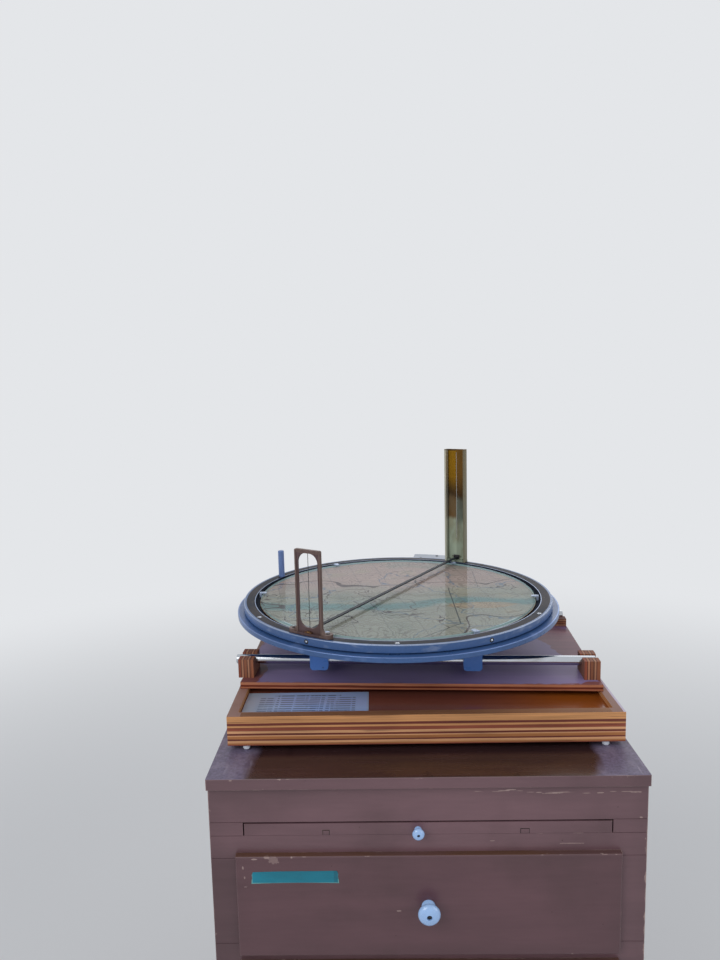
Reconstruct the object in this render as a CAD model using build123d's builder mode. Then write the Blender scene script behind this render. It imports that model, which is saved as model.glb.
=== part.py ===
"""Azimuth sighting table of a fire lookout, standing on its drawer cabinet.

Millimetres, +Z up. The origin is on the floor under the middle of the cabinet, the front
faces -Y. A map disc under glass lies in a round casting that slides on two rods, and a ring
with a front and a rear sight turns around it.
"""
from build123d import *
from math import asin, cos, degrees, radians, sin, sqrt
import os

os.makedirs("parts", exist_ok=True)

# Cabinet: a painted box with a face frame, a pull-out shelf and five lipped drawers
cabinet_height = 1110.0
top_width = 684.0
top_depth = 684.0
top_thickness = 19.0
lipping_width = 12.0
edge_round = 1.5
top_front_overhang = 8.0
top_side_overhang = 0.8
panel = 19.0
back_thickness = 6.0
stile_width = 52.7
header_height = 57.5
slot_height = 22.6
rail_height = 38.0
kick_height = 85.9
drawer_count = 5
joint_line = 0.8

# Drawers, their boxes and the runners that carry them
running_gap = 0.3
lip_thickness = 11.0
lip_side = 12.4
lip_above = 9.6
lip_below = 14.0
lip_round = 3.0
plug_thickness = 8.0
plug_gap = 2.0
box_wall = 12.0
box_headroom = 19.0
box_rear_space = 38.0
box_floor = 6.0
box_floor_lift = 8.0
runner_bearing = 9.0
runner_height = 20.0
guide_height = 14.0
guide_gap = 0.5

# Pull-out shelf
shelf_thickness = 19.5
shelf_rear_space = 52.0

# Round ceramic knobs: diameter, depth from the wood to the face, and neck
drawer_knob_size = (35.0, 27.0, 15.0)
shelf_knob_size = (19.0, 17.0, 9.0)
shelf_knob_shift = -14.2
shelf_knob_drop = 2.4

# Plywood base on small round feet, with a shallow recess under the turned board
foot_height = 9.2
foot_diameter = 12.0
foot_inset_x = 30.0
foot_inset_y = 8.0
base_side_setback = 14.0
base_front_setback = 89.0
base_rear_setback = 79.0
base_shift = 4.0
base_sheet = 25.3
base_rim = 16.5
recess_depth = 8.8

# Letter sheet, folded in thirds, lying in the recess
paper_width = 216.0
paper_length = 93.0
paper_thickness = 0.6
paper_gap = 2.0

# Board turned a little on the base, with four notched blocks and two rods, the rear one lower
board_turn = 2.98
board_side_setback = 7.1
board_front_setback = 97.2
board_rear_setback = 25.1
board_shift = 9.4
board_thickness = 12.0
block_length = 28.0
block_depth = 56.0
block_height = 34.0
rear_block_height = 15.0
rear_rod_drop = 9.0
block_setback = 21.0
left_block_overhang = 7.6
rod_diameter = 17.0
rod_left_overhang = 16.1
rod_right_setback = 3.3
rod_chamfer = 0.8
slot_clearance = 0.1

# Sliding casting that carries the map, in the turned board's directions
carriage_shift = -41.3
running_fit = 0.05
lug_spacing = 279.0
lug_width = 33.5
lug_depth = 38.0
lug_wall = 5.3
lug_round = 6.0
arm_depth = 16.0
arm_width = 22.0
casting_radius = 317.9
casting_rim = 9.3
casting_floor = 5.9
casting_height = 156.1
rim_round = 1.2
hub_inner = 274.0
hub_height = 12.0

# Map board, sheet and glass in the hub
map_board_thickness = 14.7
map_sheet_thickness = 0.6
glass_radius = 272.3
glass_thickness = 4.0

# Turning ring with its inlaid scale band
ring_inner = 283.0
ring_outer = 305.4
ring_bottom = 167.6
ring_thickness = 13.7
ring_round = 1.0
track_outer = 299.0
band_inner = 284.5
band_outer = 300.5
band_thickness = 1.5

# Sights, tape and handle on the ring, at angles from the +X axis
front_sight_angle = 238.2
front_sight_radius = 291.5
front_sight_width = 53.0
front_sight_height = 147.5
front_sight_opening = 41.0
front_sight_sill = 12.5
front_sight_head = 6.5
front_sight_web = 3.0
front_sight_rim = (5.5, 3.0)
foot_thickness = 4.0
foot_bar_width = 14.0
foot_lobe_spacing = 72.0
foot_lobe_diameter = 17.0
foot_lobe_height = 7.0
hair_diameter = 1.0
rear_sight_angle = 60.1
rear_sight_radius = 296.0
rear_sight_width = 50.3
rear_sight_height = 265.0
rear_sight_depth = 14.0
rear_sight_web = 3.0
rear_sight_flange = 4.0
rear_foot_depth = 16.0
slit_width = 1.6
slit_bottom = 55.0
slit_top = 257.0
tape_hole_width = 10.0
tape_hole_height = 5.0
tape_height = 7.5
tape_width = 7.0
tape_thickness = 2.0
plate_angles = (62.0, 81.0)
plate_reach = 46.6
plate_thickness = 5.0
plate_drop = 3.0
peg_angle = 150.1
peg_radius = 290.0
peg_diameter = 13.0
peg_height = 58.0
peg_chamfer = 1.2

# Faces and heights of the cabinet
top_under = cabinet_height - top_thickness
body_half = top_width / 2 - top_side_overhang
side_inner = body_half - panel
opening_half = body_half - stile_width
opening_width = 2 * opening_half
frame_front = -top_depth / 2 + top_front_overhang
frame_rear = frame_front + panel
body_rear = -frame_front
back_front = body_rear - back_thickness
slot_top = top_under - header_height
slot_bottom = slot_top - slot_height
drawer_pitch = (slot_bottom - kick_height) / drawer_count
drawer_opening_height = drawer_pitch - rail_height
opening_bottoms = [slot_bottom - drawer_pitch * (i + 1) for i in range(drawer_count)]
bottom_low = kick_height - runner_height - panel
box_half = opening_half - plug_gap

# Places of the plywood base and the turned board
base_width = top_width - 2 * base_side_setback
base_front = -top_depth / 2 + base_front_setback
base_rear = top_depth / 2 - base_rear_setback
base_length = base_rear - base_front
base_middle = (base_shift, (base_front + base_rear) / 2)
base_bottom = cabinet_height + foot_height
base_seam = base_bottom + base_sheet
base_top = base_seam + base_sheet
recess_floor = base_top - recess_depth
board_width = base_width - 2 * board_side_setback
board_length = base_length - board_front_setback - board_rear_setback
board_middle = (board_shift, base_front + board_front_setback + board_length / 2)
board_top = base_top + board_thickness
block_top = board_top + block_height
rod_radius = rod_diameter / 2
rod_axis_height = block_top - rod_radius - 2 * slot_clearance
rod_spacing = board_length - 2 * block_setback - block_depth

# Places of the casting, the map and the ring
turn = radians(-board_turn)
ring_x = board_middle[0] + carriage_shift * cos(turn)
ring_y = board_middle[1] + carriage_shift * sin(turn)
casting_bottom = cabinet_height + casting_height
casting_top = casting_bottom + casting_rim
floor_top = casting_bottom + casting_floor
arm_bottom = casting_bottom - arm_depth
hub_top = floor_top + hub_height
map_top = floor_top + map_board_thickness
sheet_top = map_top + map_sheet_thickness
ring_low = cabinet_height + ring_bottom
ring_high = ring_low + ring_thickness
plate_outer = ring_outer + plate_reach


def write(builder, name):
    """Label a finished piece and write it to its own file."""
    builder.part.label = name
    export_step(builder.part, f"parts/{name}.step")


def board_plane(height):
    """Level plane in the turned board's directions, at its middle."""
    return Plane(origin=(*board_middle, height), x_dir=(cos(turn), sin(turn), 0), z_dir=(0, 0, 1))


def board_section(x):
    """Upright plane across the rods at a distance along the board, x to the rear, y up."""
    origin = board_plane(0).from_local_coords((x, 0, 0))
    return Plane(origin=origin, x_dir=(-sin(turn), cos(turn), 0), z_dir=(cos(turn), sin(turn), 0))


def casting_plane(height):
    """Level plane in the turned board's directions, at the ring centre."""
    return Plane(origin=(ring_x, ring_y, height), x_dir=(cos(turn), sin(turn), 0), z_dir=(0, 0, 1))


def ring_plane(height):
    """Level plane in the cabinet's directions, at the ring centre."""
    return Plane(origin=(ring_x, ring_y, height))


def radial_plane(angle, radius, height):
    """Level plane at a point of the ring, x outwards and y along the ring."""
    along = radians(angle)
    origin = (ring_x + radius * cos(along), ring_y + radius * sin(along), height)
    return Plane(origin=origin, x_dir=(cos(along), sin(along), 0), z_dir=(0, 0, 1))


def upright_plane(angle, radius):
    """Upright plane that faces away from the ring centre, x along the ring, y up from its top."""
    along = radians(angle)
    origin = (ring_x + radius * cos(along), ring_y + radius * sin(along), ring_high)
    return Plane(origin=origin, x_dir=(-sin(along), cos(along), 0), z_dir=(cos(along), sin(along), 0))


def board(centre_x, front, rear, low, width, thickness):
    """Flat board between two depths, its lower face at a height."""
    with BuildPart() as flat:
        with BuildSketch(Plane.XY.offset(low)):
            with Locations((centre_x, (front + rear) / 2)):
                Rectangle(width, rear - front)
        extrude(amount=thickness)
    return flat


def knob(size, centre_x, face_y, centre_z):
    """Round knob turned about a line along -Y: neck, flare, rim and domed face."""
    diameter, depth, neck = size
    radius = diameter / 2
    centre = (centre_x, face_y, centre_z)
    with BuildPart() as turned_knob:
        with BuildSketch(Plane(origin=centre, x_dir=(1, 0, 0), z_dir=(0, 0, 1))):
            with BuildLine():
                Polyline(
                    (0, 0),
                    (0.55 * neck, 0),
                    (0.5 * neck, -0.3 * depth),
                    (0.88 * radius, -0.52 * depth),
                    (radius, -0.62 * depth),
                    (radius, -0.72 * depth),
                    (0.88 * radius, -0.86 * depth),
                    (0.55 * radius, -0.96 * depth),
                    (0, -depth),
                    close=True,
                )
            make_face()
        revolve(axis=Axis(centre, (0, 1, 0)))
    return turned_knob


# Cabinet top and the lipping along its front edge
top_seam = -top_depth / 2 + lipping_width
cabinet_top = board(0, top_seam, top_depth / 2, top_under, top_width, top_thickness)
write(cabinet_top, "cabinet_top")

with BuildPart() as top_lipping:
    with BuildSketch(Plane.XY.offset(top_under)):
        with Locations((0, top_seam - lipping_width / 2)):
            Rectangle(top_width, lipping_width)
    extrude(amount=top_thickness)
    fillet(top_lipping.faces().sort_by(Axis.Y)[0].edges().filter_by(Axis.X), edge_round)
write(top_lipping, "top_lipping")

# Face frame: rails and stiles glued up as one, open for the shelf and the drawers
with BuildPart() as face_frame:
    with BuildSketch(Plane.XZ.offset(-frame_rear)):
        with Locations((0, top_under / 2)):
            Rectangle(2 * body_half, top_under)
        with Locations((0, (slot_top + slot_bottom) / 2)):
            Rectangle(opening_width, slot_height, mode=Mode.SUBTRACT)
        with Locations(*[(0, z + drawer_opening_height / 2) for z in opening_bottoms]):
            Rectangle(opening_width, drawer_opening_height, mode=Mode.SUBTRACT)
    extrude(amount=panel)
    seams = [slot_top, slot_bottom]
    for level in opening_bottoms:
        seams += [level, level + drawer_opening_height]
    with BuildSketch(Plane.XZ.offset(-frame_front)):
        for hand in (-1, 1):
            with Locations(*[(hand * (opening_half + stile_width / 2), z) for z in seams]):
                Rectangle(stile_width, joint_line)
    extrude(amount=-joint_line, mode=Mode.SUBTRACT)
write(face_frame, "face_frame")

# Sides with the runners and guides glued on their inner faces
for name, hand in (("left_side", -1), ("right_side", 1)):
    with BuildPart() as side:
        with BuildSketch(Plane.XZ.offset(-frame_rear)):
            with Locations((hand * (side_inner + panel / 2), top_under / 2)):
                Rectangle(panel, top_under)
        extrude(amount=frame_rear - body_rear)
        with BuildSketch(Plane.XZ.offset(-frame_rear)):
            for level in [slot_bottom] + opening_bottoms:
                bearing = box_half - runner_bearing
                with Locations((hand * (bearing + side_inner) / 2, level - runner_height / 2)):
                    Rectangle(side_inner - bearing, runner_height)
                guide = box_half + guide_gap
                with Locations((hand * (guide + side_inner) / 2, level + guide_height / 2)):
                    Rectangle(side_inner - guide, guide_height)
        extrude(amount=frame_rear - back_front)
    write(side, name)

# Back, bottom and the bearer that carries the bottom on the floor
back_panel = board(0, back_front, body_rear, 0, 2 * side_inner, top_under)
write(back_panel, "back_panel")
cabinet_bottom = board(0, frame_rear, back_front, bottom_low, 2 * side_inner, panel)
write(cabinet_bottom, "cabinet_bottom")
floor_bearer = board(0, -panel / 2, panel / 2, 0, 2 * side_inner, bottom_low)
write(floor_bearer, "floor_bearer")

# Pull-out shelf and its knob
shelf_low = slot_bottom + running_gap
pullout_shelf = board(0, frame_front, back_front - shelf_rear_space, shelf_low, 2 * box_half, shelf_thickness)
write(pullout_shelf, "pullout_shelf")
shelf_knob_height = shelf_low + shelf_thickness / 2 - shelf_knob_drop
shelf_knob = knob(shelf_knob_size, shelf_knob_shift, frame_front, shelf_knob_height)
write(shelf_knob, "shelf_knob")

# Five drawers: lipped front, box and knob
lip_rear = frame_front - running_gap
lip_front = lip_rear - lip_thickness
box_front = lip_rear + plug_thickness
box_rear = back_front - box_rear_space
box_height = drawer_opening_height - box_headroom
for number, level in enumerate(opening_bottoms, start=1):
    front_low = level - lip_below
    front_high = level + drawer_opening_height + lip_above
    front_middle = (front_low + front_high) / 2
    with BuildPart() as drawer_front:
        with BuildSketch(Plane.XZ.offset(-lip_rear)):
            with Locations((0, front_middle)):
                Rectangle(opening_width + 2 * lip_side, front_high - front_low)
        extrude(amount=lip_thickness)
        fillet(drawer_front.faces().sort_by(Axis.Y)[0].edges(), lip_round)
        with BuildSketch(Plane.XZ.offset(-box_front)):
            with Locations((0, level + drawer_opening_height / 2)):
                Rectangle(2 * box_half, drawer_opening_height - 2 * plug_gap)
        extrude(amount=plug_thickness)
    write(drawer_front, f"drawer_front_{number}")

    box_low = level + running_gap
    box_middle = (0, (box_front + box_rear) / 2)
    inner_width = 2 * (box_half - box_wall)
    inner_length = box_rear - box_front - 2 * box_wall
    with BuildPart() as drawer_box:
        with BuildSketch(Plane.XY.offset(box_low)):
            with Locations(box_middle):
                Rectangle(2 * box_half, box_rear - box_front)
        extrude(amount=box_height)
        with BuildSketch(Plane.XY.offset(box_low + box_floor_lift + box_floor)):
            with Locations(box_middle):
                Rectangle(inner_width, inner_length)
        extrude(amount=box_height, mode=Mode.SUBTRACT)
        with BuildSketch(Plane.XY.offset(box_low)):
            with Locations(box_middle):
                Rectangle(inner_width, inner_length)
        extrude(amount=box_floor_lift, mode=Mode.SUBTRACT)
    write(drawer_box, f"drawer_box_{number}")
    write(knob(drawer_knob_size, 0, lip_front, front_middle), f"drawer_knob_{number}")

# Feet under the plywood base: short pads with bevelled edges
foot_x = base_width / 2 - foot_inset_x
foot_bevel = foot_height / 4
for place, y in (("front", base_front + foot_inset_y), ("rear", base_rear - foot_inset_y)):
    for hand_name, x in (("left", base_shift - foot_x), ("right", base_shift + foot_x)):
        with BuildPart() as foot:
            with BuildSketch(Plane.XY.offset(cabinet_height)):
                with Locations((x, y)):
                    Circle(foot_diameter / 2)
            extrude(amount=foot_height)
            chamfer(foot.edges().filter_by(GeomType.CIRCLE), foot_bevel)
        write(foot, f"foot_{place}_{hand_name}")

# Two plywood sheets make the base, the upper one with the recess
base_lower = board(base_shift, base_front, base_rear, base_bottom, base_width, base_sheet)
write(base_lower, "base_lower")

with BuildPart() as base_upper:
    with BuildSketch(Plane.XY.offset(base_seam)):
        with Locations(base_middle):
            Rectangle(base_width, base_length)
    extrude(amount=base_sheet)
    with BuildSketch(Plane.XY.offset(base_top)):
        with Locations(base_middle):
            Rectangle(base_width - 2 * base_rim, base_length - 2 * base_rim)
    extrude(amount=-recess_depth, mode=Mode.SUBTRACT)
write(base_upper, "base_upper")

paper_x = base_shift - base_width / 2 + base_rim + paper_gap + paper_width / 2
paper_front = base_front + base_rim + paper_gap
instruction_sheet = board(
    paper_x, paper_front, paper_front + paper_length, recess_floor, paper_width, paper_thickness
)
write(instruction_sheet, "instruction_sheet")

# Turned board
with BuildPart() as swivel_board:
    with BuildSketch(board_plane(base_top)):
        Rectangle(board_width, board_length)
    extrude(amount=board_thickness)
write(swivel_board, "swivel_board")

# Notched blocks: the rods lie in slots that are open at the top, the rear ones in low blocks
slot_radius = rod_radius + slot_clearance
block_starts = {
    "left": -board_width / 2 - left_block_overhang,
    "right": board_width / 2 - block_length,
}
rod_rows = {
    "front": (-rod_spacing / 2, rod_axis_height, block_height),
    "rear": (rod_spacing / 2, rod_axis_height - rear_rod_drop, rear_block_height),
}
for hand_name, start in block_starts.items():
    for place, (rod_y, rod_level, height) in rod_rows.items():
        with BuildPart() as rod_block:
            with BuildSketch(board_section(start)):
                with Locations((rod_y, board_top + height / 2)):
                    Rectangle(block_depth, height)
                with Locations((rod_y, rod_level + slot_clearance)):
                    Circle(slot_radius, mode=Mode.SUBTRACT)
                with Locations((rod_y, rod_level + slot_clearance + height / 2)):
                    Rectangle(2 * slot_radius, height, mode=Mode.SUBTRACT)
            extrude(amount=block_length)
        write(rod_block, f"rod_block_{place}_{hand_name}")

# Rods, resting on the floors of the slots
rod_start = -board_width / 2 - rod_left_overhang
rod_end = board_width / 2 - rod_right_setback
for place, (rod_y, rod_level, _) in rod_rows.items():
    with BuildPart() as rod:
        with BuildSketch(board_section(rod_start)):
            with Locations((rod_y, rod_level)):
                Circle(rod_radius)
        extrude(amount=rod_end - rod_start)
        chamfer(rod.edges().filter_by(GeomType.CIRCLE), rod_chamfer)
    write(rod, f"{place}_rod")

# Sliding casting: rim, floor and hub, two arms, and four lugs bored for the rods
arm_reach = sqrt(hub_inner**2 - (lug_spacing / 2 + lug_width / 2) ** 2)
with BuildPart() as base_casting:
    with BuildSketch(casting_plane(casting_bottom)):
        Circle(casting_radius)
    extrude(amount=casting_rim)
    fillet(base_casting.edges().filter_by(GeomType.CIRCLE), rim_round)
    with BuildSketch(casting_plane(casting_top)):
        Circle(track_outer)
    extrude(amount=ring_low - running_fit - casting_top)
    with BuildSketch(casting_plane(casting_top)):
        Circle(ring_inner - running_fit)
    extrude(amount=hub_top - casting_top)
    with BuildSketch(casting_plane(floor_top)):
        Circle(hub_inner)
    extrude(amount=hub_height, mode=Mode.SUBTRACT)
    with BuildSketch(casting_plane(arm_bottom)):
        with Locations((-lug_spacing / 2, 0), (lug_spacing / 2, 0)):
            Rectangle(arm_width, 2 * arm_reach)
    extrude(amount=arm_depth)
    for rod_y, rod_level, _ in rod_rows.values():
        lug_bottom = rod_level - rod_radius - lug_wall
        lug_origin = casting_plane(lug_bottom).from_local_coords((0, rod_y + lug_depth / 2, 0))
        lug_plane = Plane(origin=lug_origin, x_dir=(cos(turn), sin(turn), 0), z_dir=(sin(turn), -cos(turn), 0))
        lug_height = casting_bottom - lug_bottom
        with BuildSketch(lug_plane) as lug_sketch:
            with Locations((-lug_spacing / 2, lug_height / 2), (lug_spacing / 2, lug_height / 2)):
                Rectangle(lug_width, lug_height)
            fillet(lug_sketch.vertices().group_by(Axis.Z)[0], lug_round)
        extrude(amount=lug_depth)
        bore_origin = casting_plane(rod_level).from_local_coords((-lug_spacing, rod_y, 0))
        with BuildSketch(Plane(origin=bore_origin, x_dir=(0, 0, 1), z_dir=(cos(turn), sin(turn), 0))):
            Circle(rod_radius + running_fit)
        extrude(amount=2 * lug_spacing, mode=Mode.SUBTRACT)
write(base_casting, "base_casting")

# Map board, map and glass
for name, radius, low, thickness in (
    ("map_board", hub_inner, floor_top, map_board_thickness),
    ("map_sheet", hub_inner, map_top, map_sheet_thickness),
    ("map_glass", glass_radius, sheet_top, glass_thickness),
):
    with BuildPart() as disc:
        with BuildSketch(casting_plane(low)):
            Circle(radius)
        extrude(amount=thickness)
    write(disc, name)

# Turning ring and its scale band
with BuildPart() as azimuth_ring:
    with BuildSketch(ring_plane(ring_low)):
        Circle(ring_outer)
        Circle(ring_inner, mode=Mode.SUBTRACT)
    extrude(amount=ring_thickness)
    outer_edges = azimuth_ring.faces().filter_by(GeomType.CYLINDER).sort_by(SortBy.RADIUS)[-1].edges()
    fillet(outer_edges.filter_by(GeomType.CIRCLE), ring_round)
    with BuildSketch(ring_plane(ring_high)):
        Circle(band_outer)
        Circle(band_inner, mode=Mode.SUBTRACT)
    extrude(amount=-band_thickness, mode=Mode.SUBTRACT)
write(azimuth_ring, "azimuth_ring")

with BuildPart() as scale_band:
    with BuildSketch(ring_plane(ring_high - band_thickness)):
        Circle(band_outer)
        Circle(band_inner, mode=Mode.SUBTRACT)
    extrude(amount=band_thickness)
write(scale_band, "scale_band")

# Front sight: a rimmed open frame on a curved foot with two round lobes
front_plane = upright_plane(front_sight_angle, front_sight_radius)
opening_top = front_sight_height - front_sight_head
rim_depth, rim_width = front_sight_rim
lobe_turn = degrees(asin(foot_lobe_spacing / 2 / front_sight_radius))
foot_start = front_sight_angle - lobe_turn
foot_stop = front_sight_angle + lobe_turn
foot_inner = front_sight_radius - foot_bar_width / 2
foot_outer = front_sight_radius + foot_bar_width / 2
with BuildPart() as front_sight:
    with BuildSketch(front_plane.offset(-front_sight_web / 2)):
        with Locations((0, front_sight_height / 2)):
            RectangleRounded(front_sight_width, front_sight_height, rim_width)
        with Locations((0, (front_sight_sill + opening_top) / 2)):
            RectangleRounded(
                front_sight_opening,
                opening_top - front_sight_sill,
                0.4 * front_sight_opening,
                mode=Mode.SUBTRACT,
            )
    extrude(amount=front_sight_web)
    with BuildSketch(front_plane.offset(-rim_depth / 2)):
        with Locations((0, front_sight_height / 2)):
            RectangleRounded(front_sight_width, front_sight_height, rim_width)
            Rectangle(
                front_sight_width - 2 * rim_width,
                front_sight_height - 2 * rim_width,
                mode=Mode.SUBTRACT,
            )
    extrude(amount=rim_depth)
    with BuildSketch(ring_plane(ring_high)):
        with BuildLine():
            CenterArc((0, 0), foot_inner, foot_start, 2 * lobe_turn)
            CenterArc((0, 0), foot_outer, foot_start, 2 * lobe_turn)
            for angle in (foot_start, foot_stop):
                along = radians(angle)
                Line(
                    (foot_inner * cos(along), foot_inner * sin(along)),
                    (foot_outer * cos(along), foot_outer * sin(along)),
                )
        make_face()
    extrude(amount=foot_thickness)
    with BuildSketch(ring_plane(ring_high)):
        with PolarLocations(front_sight_radius, 2, foot_start, 2 * lobe_turn, endpoint=True):
            Circle(foot_lobe_diameter / 2)
    extrude(amount=foot_lobe_height)
write(front_sight, "front_sight")

with BuildPart() as sight_hair:
    with BuildSketch(radial_plane(front_sight_angle, front_sight_radius, ring_high + front_sight_sill)):
        Circle(hair_diameter / 2)
    extrude(amount=opening_top - front_sight_sill)
write(sight_hair, "sight_hair")

# Rear sight: a tall channel with a slit, and a small arched hole where the tape ends
rear_plane = upright_plane(rear_sight_angle, rear_sight_radius)
channel_floor = rear_sight_depth / 2 - rear_sight_web
with BuildPart() as rear_sight:
    with BuildSketch(radial_plane(rear_sight_angle, rear_sight_radius, ring_high)):
        with Locations((channel_floor + rear_sight_web / 2, 0)):
            Rectangle(rear_sight_web, rear_sight_width)
        for hand in (-1, 1):
            with Locations((0, hand * (rear_sight_width - rear_sight_flange) / 2)):
                Rectangle(rear_sight_depth, rear_sight_flange)
    extrude(amount=rear_sight_height)
    with BuildSketch(radial_plane(rear_sight_angle, rear_sight_radius - rear_sight_depth / 2, ring_high)):
        with Locations((rear_foot_depth / 2, 0)):
            Rectangle(rear_foot_depth, rear_sight_width)
    extrude(amount=foot_thickness)
    with BuildSketch(rear_plane):
        with Locations((0, (slit_bottom + slit_top) / 2)):
            Rectangle(slit_width, slit_top - slit_bottom)
        with Locations((0, tape_height + tape_hole_height / 4)):
            Rectangle(tape_hole_width, tape_hole_height / 2)
        with Locations((0, tape_height + tape_hole_height / 2)):
            Ellipse(tape_hole_width / 2, tape_hole_height / 2)
    extrude(amount=rear_sight_depth, mode=Mode.SUBTRACT)
write(rear_sight, "rear_sight")

# Tape over the map, from under the front sight's sill to the hole in the rear sight
tape_level = ring_high + tape_height
tape_start = radial_plane(front_sight_angle, front_sight_radius - front_sight_web / 2, tape_level).origin
tape_end = radial_plane(rear_sight_angle, rear_sight_radius + rear_sight_depth / 2, tape_level).origin
tape_run = tape_end - tape_start
with BuildPart() as sight_tape:
    with BuildSketch(Plane(origin=tape_start, x_dir=tape_run, z_dir=(0, 0, 1))):
        Rectangle(tape_run.length, tape_width, align=(Align.MIN, Align.CENTER))
    extrude(amount=tape_thickness)
write(sight_tape, "sight_tape")

# Index plate on the outer side of the ring, beside the rear sight
plate_start, plate_stop = plate_angles
with BuildPart() as index_plate:
    with BuildSketch(ring_plane(ring_high - plate_drop - plate_thickness)):
        with BuildLine():
            CenterArc((0, 0), ring_outer, plate_start, plate_stop - plate_start)
            CenterArc((0, 0), plate_outer, plate_start, plate_stop - plate_start)
            for angle in plate_angles:
                along = radians(angle)
                Line(
                    (ring_outer * cos(along), ring_outer * sin(along)),
                    (plate_outer * cos(along), plate_outer * sin(along)),
                )
        make_face()
    extrude(amount=plate_thickness)
write(index_plate, "index_plate")

# Handle peg that turns the ring
with BuildPart() as handle_peg:
    with BuildSketch(radial_plane(peg_angle, peg_radius, ring_high)):
        Circle(peg_diameter / 2)
    extrude(amount=peg_height)
    chamfer(handle_peg.edges().group_by(Axis.Z)[-1], peg_chamfer)
write(handle_peg, "handle_peg")
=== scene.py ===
"""Fire finder on its drawer cabinet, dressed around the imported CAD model.

Lengths are in metres in the row's frame: the origin is on the floor under the middle of the
cabinet, +Z is up and the front faces -Y. Each operator makes one group of pieces or finishes.
"""
import math

import bmesh
import bpy
from mathutils import Matrix, Vector


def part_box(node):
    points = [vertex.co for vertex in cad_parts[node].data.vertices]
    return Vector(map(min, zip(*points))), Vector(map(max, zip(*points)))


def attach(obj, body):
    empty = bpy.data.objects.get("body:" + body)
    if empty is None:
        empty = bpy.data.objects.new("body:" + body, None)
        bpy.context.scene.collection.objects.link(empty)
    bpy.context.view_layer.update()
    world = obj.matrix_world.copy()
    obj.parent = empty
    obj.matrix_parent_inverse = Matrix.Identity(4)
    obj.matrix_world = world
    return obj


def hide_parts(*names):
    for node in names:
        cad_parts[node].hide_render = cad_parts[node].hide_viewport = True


bl_info = {
    "name": "Fire finder on drawer cabinet",
    "version": (1, 0, 0),
    "blender": (4, 5, 0),
    "location": "View3D > Sidebar > Fire finder",
    "description": "Dresses an azimuth sighting table and its drawer cabinet",
    "category": "Object",
}

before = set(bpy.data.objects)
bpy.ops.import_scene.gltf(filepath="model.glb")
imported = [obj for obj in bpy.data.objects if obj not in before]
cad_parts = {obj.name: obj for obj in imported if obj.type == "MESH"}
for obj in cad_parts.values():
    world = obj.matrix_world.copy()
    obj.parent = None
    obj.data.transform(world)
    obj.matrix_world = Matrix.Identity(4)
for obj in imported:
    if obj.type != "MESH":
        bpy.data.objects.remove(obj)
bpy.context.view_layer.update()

MM = 0.001
DRAWERS = 5


def tint(red, green, blue):
    """A colour as a paint chart gives it, 0 to 255, in the linear form that shaders use."""
    linear = []
    for part in (red, green, blue):
        part /= 255
        linear.append(part / 12.92 if part <= 0.04045 else ((part + 0.055) / 1.055) ** 2.4)
    return (*linear, 1.0)


def colour_setting(name, description, red, green, blue):
    """A colour that the panel shows."""
    return bpy.props.FloatVectorProperty(
        name=name,
        description=description,
        subtype="COLOR",
        size=4,
        min=0.0,
        max=1.0,
        default=tint(red, green, blue),
    )


def length_setting(name, description, millimetres):
    """A length that the panel shows."""
    return bpy.props.FloatProperty(
        name=name, description=description, unit="LENGTH", subtype="DISTANCE", min=0.0, default=millimetres * MM
    )


def angle_setting(name, description, angle):
    """An angle in radians that the panel shows."""
    return bpy.props.FloatProperty(name=name, description=description, subtype="ANGLE", default=angle)


def number_setting(name, description, value, least=0.0):
    """A plain number that the panel shows."""
    return bpy.props.FloatProperty(name=name, description=description, min=least, default=value)


class CabinetSettings(bpy.types.PropertyGroup):
    """Sizes and colours of the cabinet."""

    paint: colour_setting("Paint", "Mauve brown oil paint", 115, 86, 92)
    drawer_paint: colour_setting("Drawer paint", "Older coat on the drawer fronts", 100, 70, 76)
    # the dark middle of the top is partly painted shade, and the pale ends are partly a painted reflection
    worn_top: colour_setting("Worn top", "Dark glossy middle of the cabinet top", 63, 40, 39)
    top_ends: colour_setting("Top ends", "Rough coat on the ends of the cabinet top", 105, 95, 119)
    undercoat: colour_setting("Undercoat", "Pale coat that shows in chips", 176, 152, 146)
    raw_wood: colour_setting("Raw wood", "Inside of the cabinet and drawer boxes", 178, 142, 100)
    # white glaze, tinted pale blue as painted sky light
    ceramic: colour_setting("Ceramic", "Glaze of the knobs", 168, 206, 255)
    tape: colour_setting("Label tape", "Teal tape on the top drawer", 8, 124, 146)


class BaseSettings(bpy.types.PropertyGroup):
    """Sizes and colours of the plywood base."""

    pale_ply: colour_setting("Pale ply", "Long grain of the plywood edge", 210, 156, 112)
    dark_ply: colour_setting("Dark ply", "End grain of the plywood edge", 104, 46, 36)
    varnish: colour_setting("Varnish", "Recess floor", 124, 69, 56)
    board_paint: colour_setting("Board paint", "Glossy paint on the turned board", 136, 118, 158)
    bumper: colour_setting("Bumper", "Small white feet", 226, 232, 242)
    paper: colour_setting("Paper", "Laminated letter sheet", 177, 199, 243)
    board_turn: angle_setting("Board turn", "Turn of the board on the base", math.radians(-2.98))


class InstrumentSettings(bpy.types.PropertyGroup):
    """Sizes and colours of the instrument."""

    ring_paint: colour_setting("Ring paint", "Blue grey enamel", 66, 98, 148)
    bronze: colour_setting("Bronze", "Front sight", 94, 74, 75)
    brass: colour_setting("Brass", "Bare upper part of the rear sight", 142, 102, 4)
    patina: colour_setting("Patina", "Green grey lower part of the rear sight", 180, 194, 170)
    scale: colour_setting("Scale", "Engraved band of the ring", 51, 47, 52)
    map_paper: colour_setting("Map paper", "Unprinted paper of the map", 136, 128, 115)
    rear_bearing: angle_setting("Rear sight", "Where the rear sight stands, from +X", math.radians(60.1))
    ring_screw_radius: length_setting("Ring screw circle", "Radius at which the ring's top screws sit", 295.5)
    number_height: length_setting("Number height", "Height of the degree numbers", 4.6)


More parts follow.
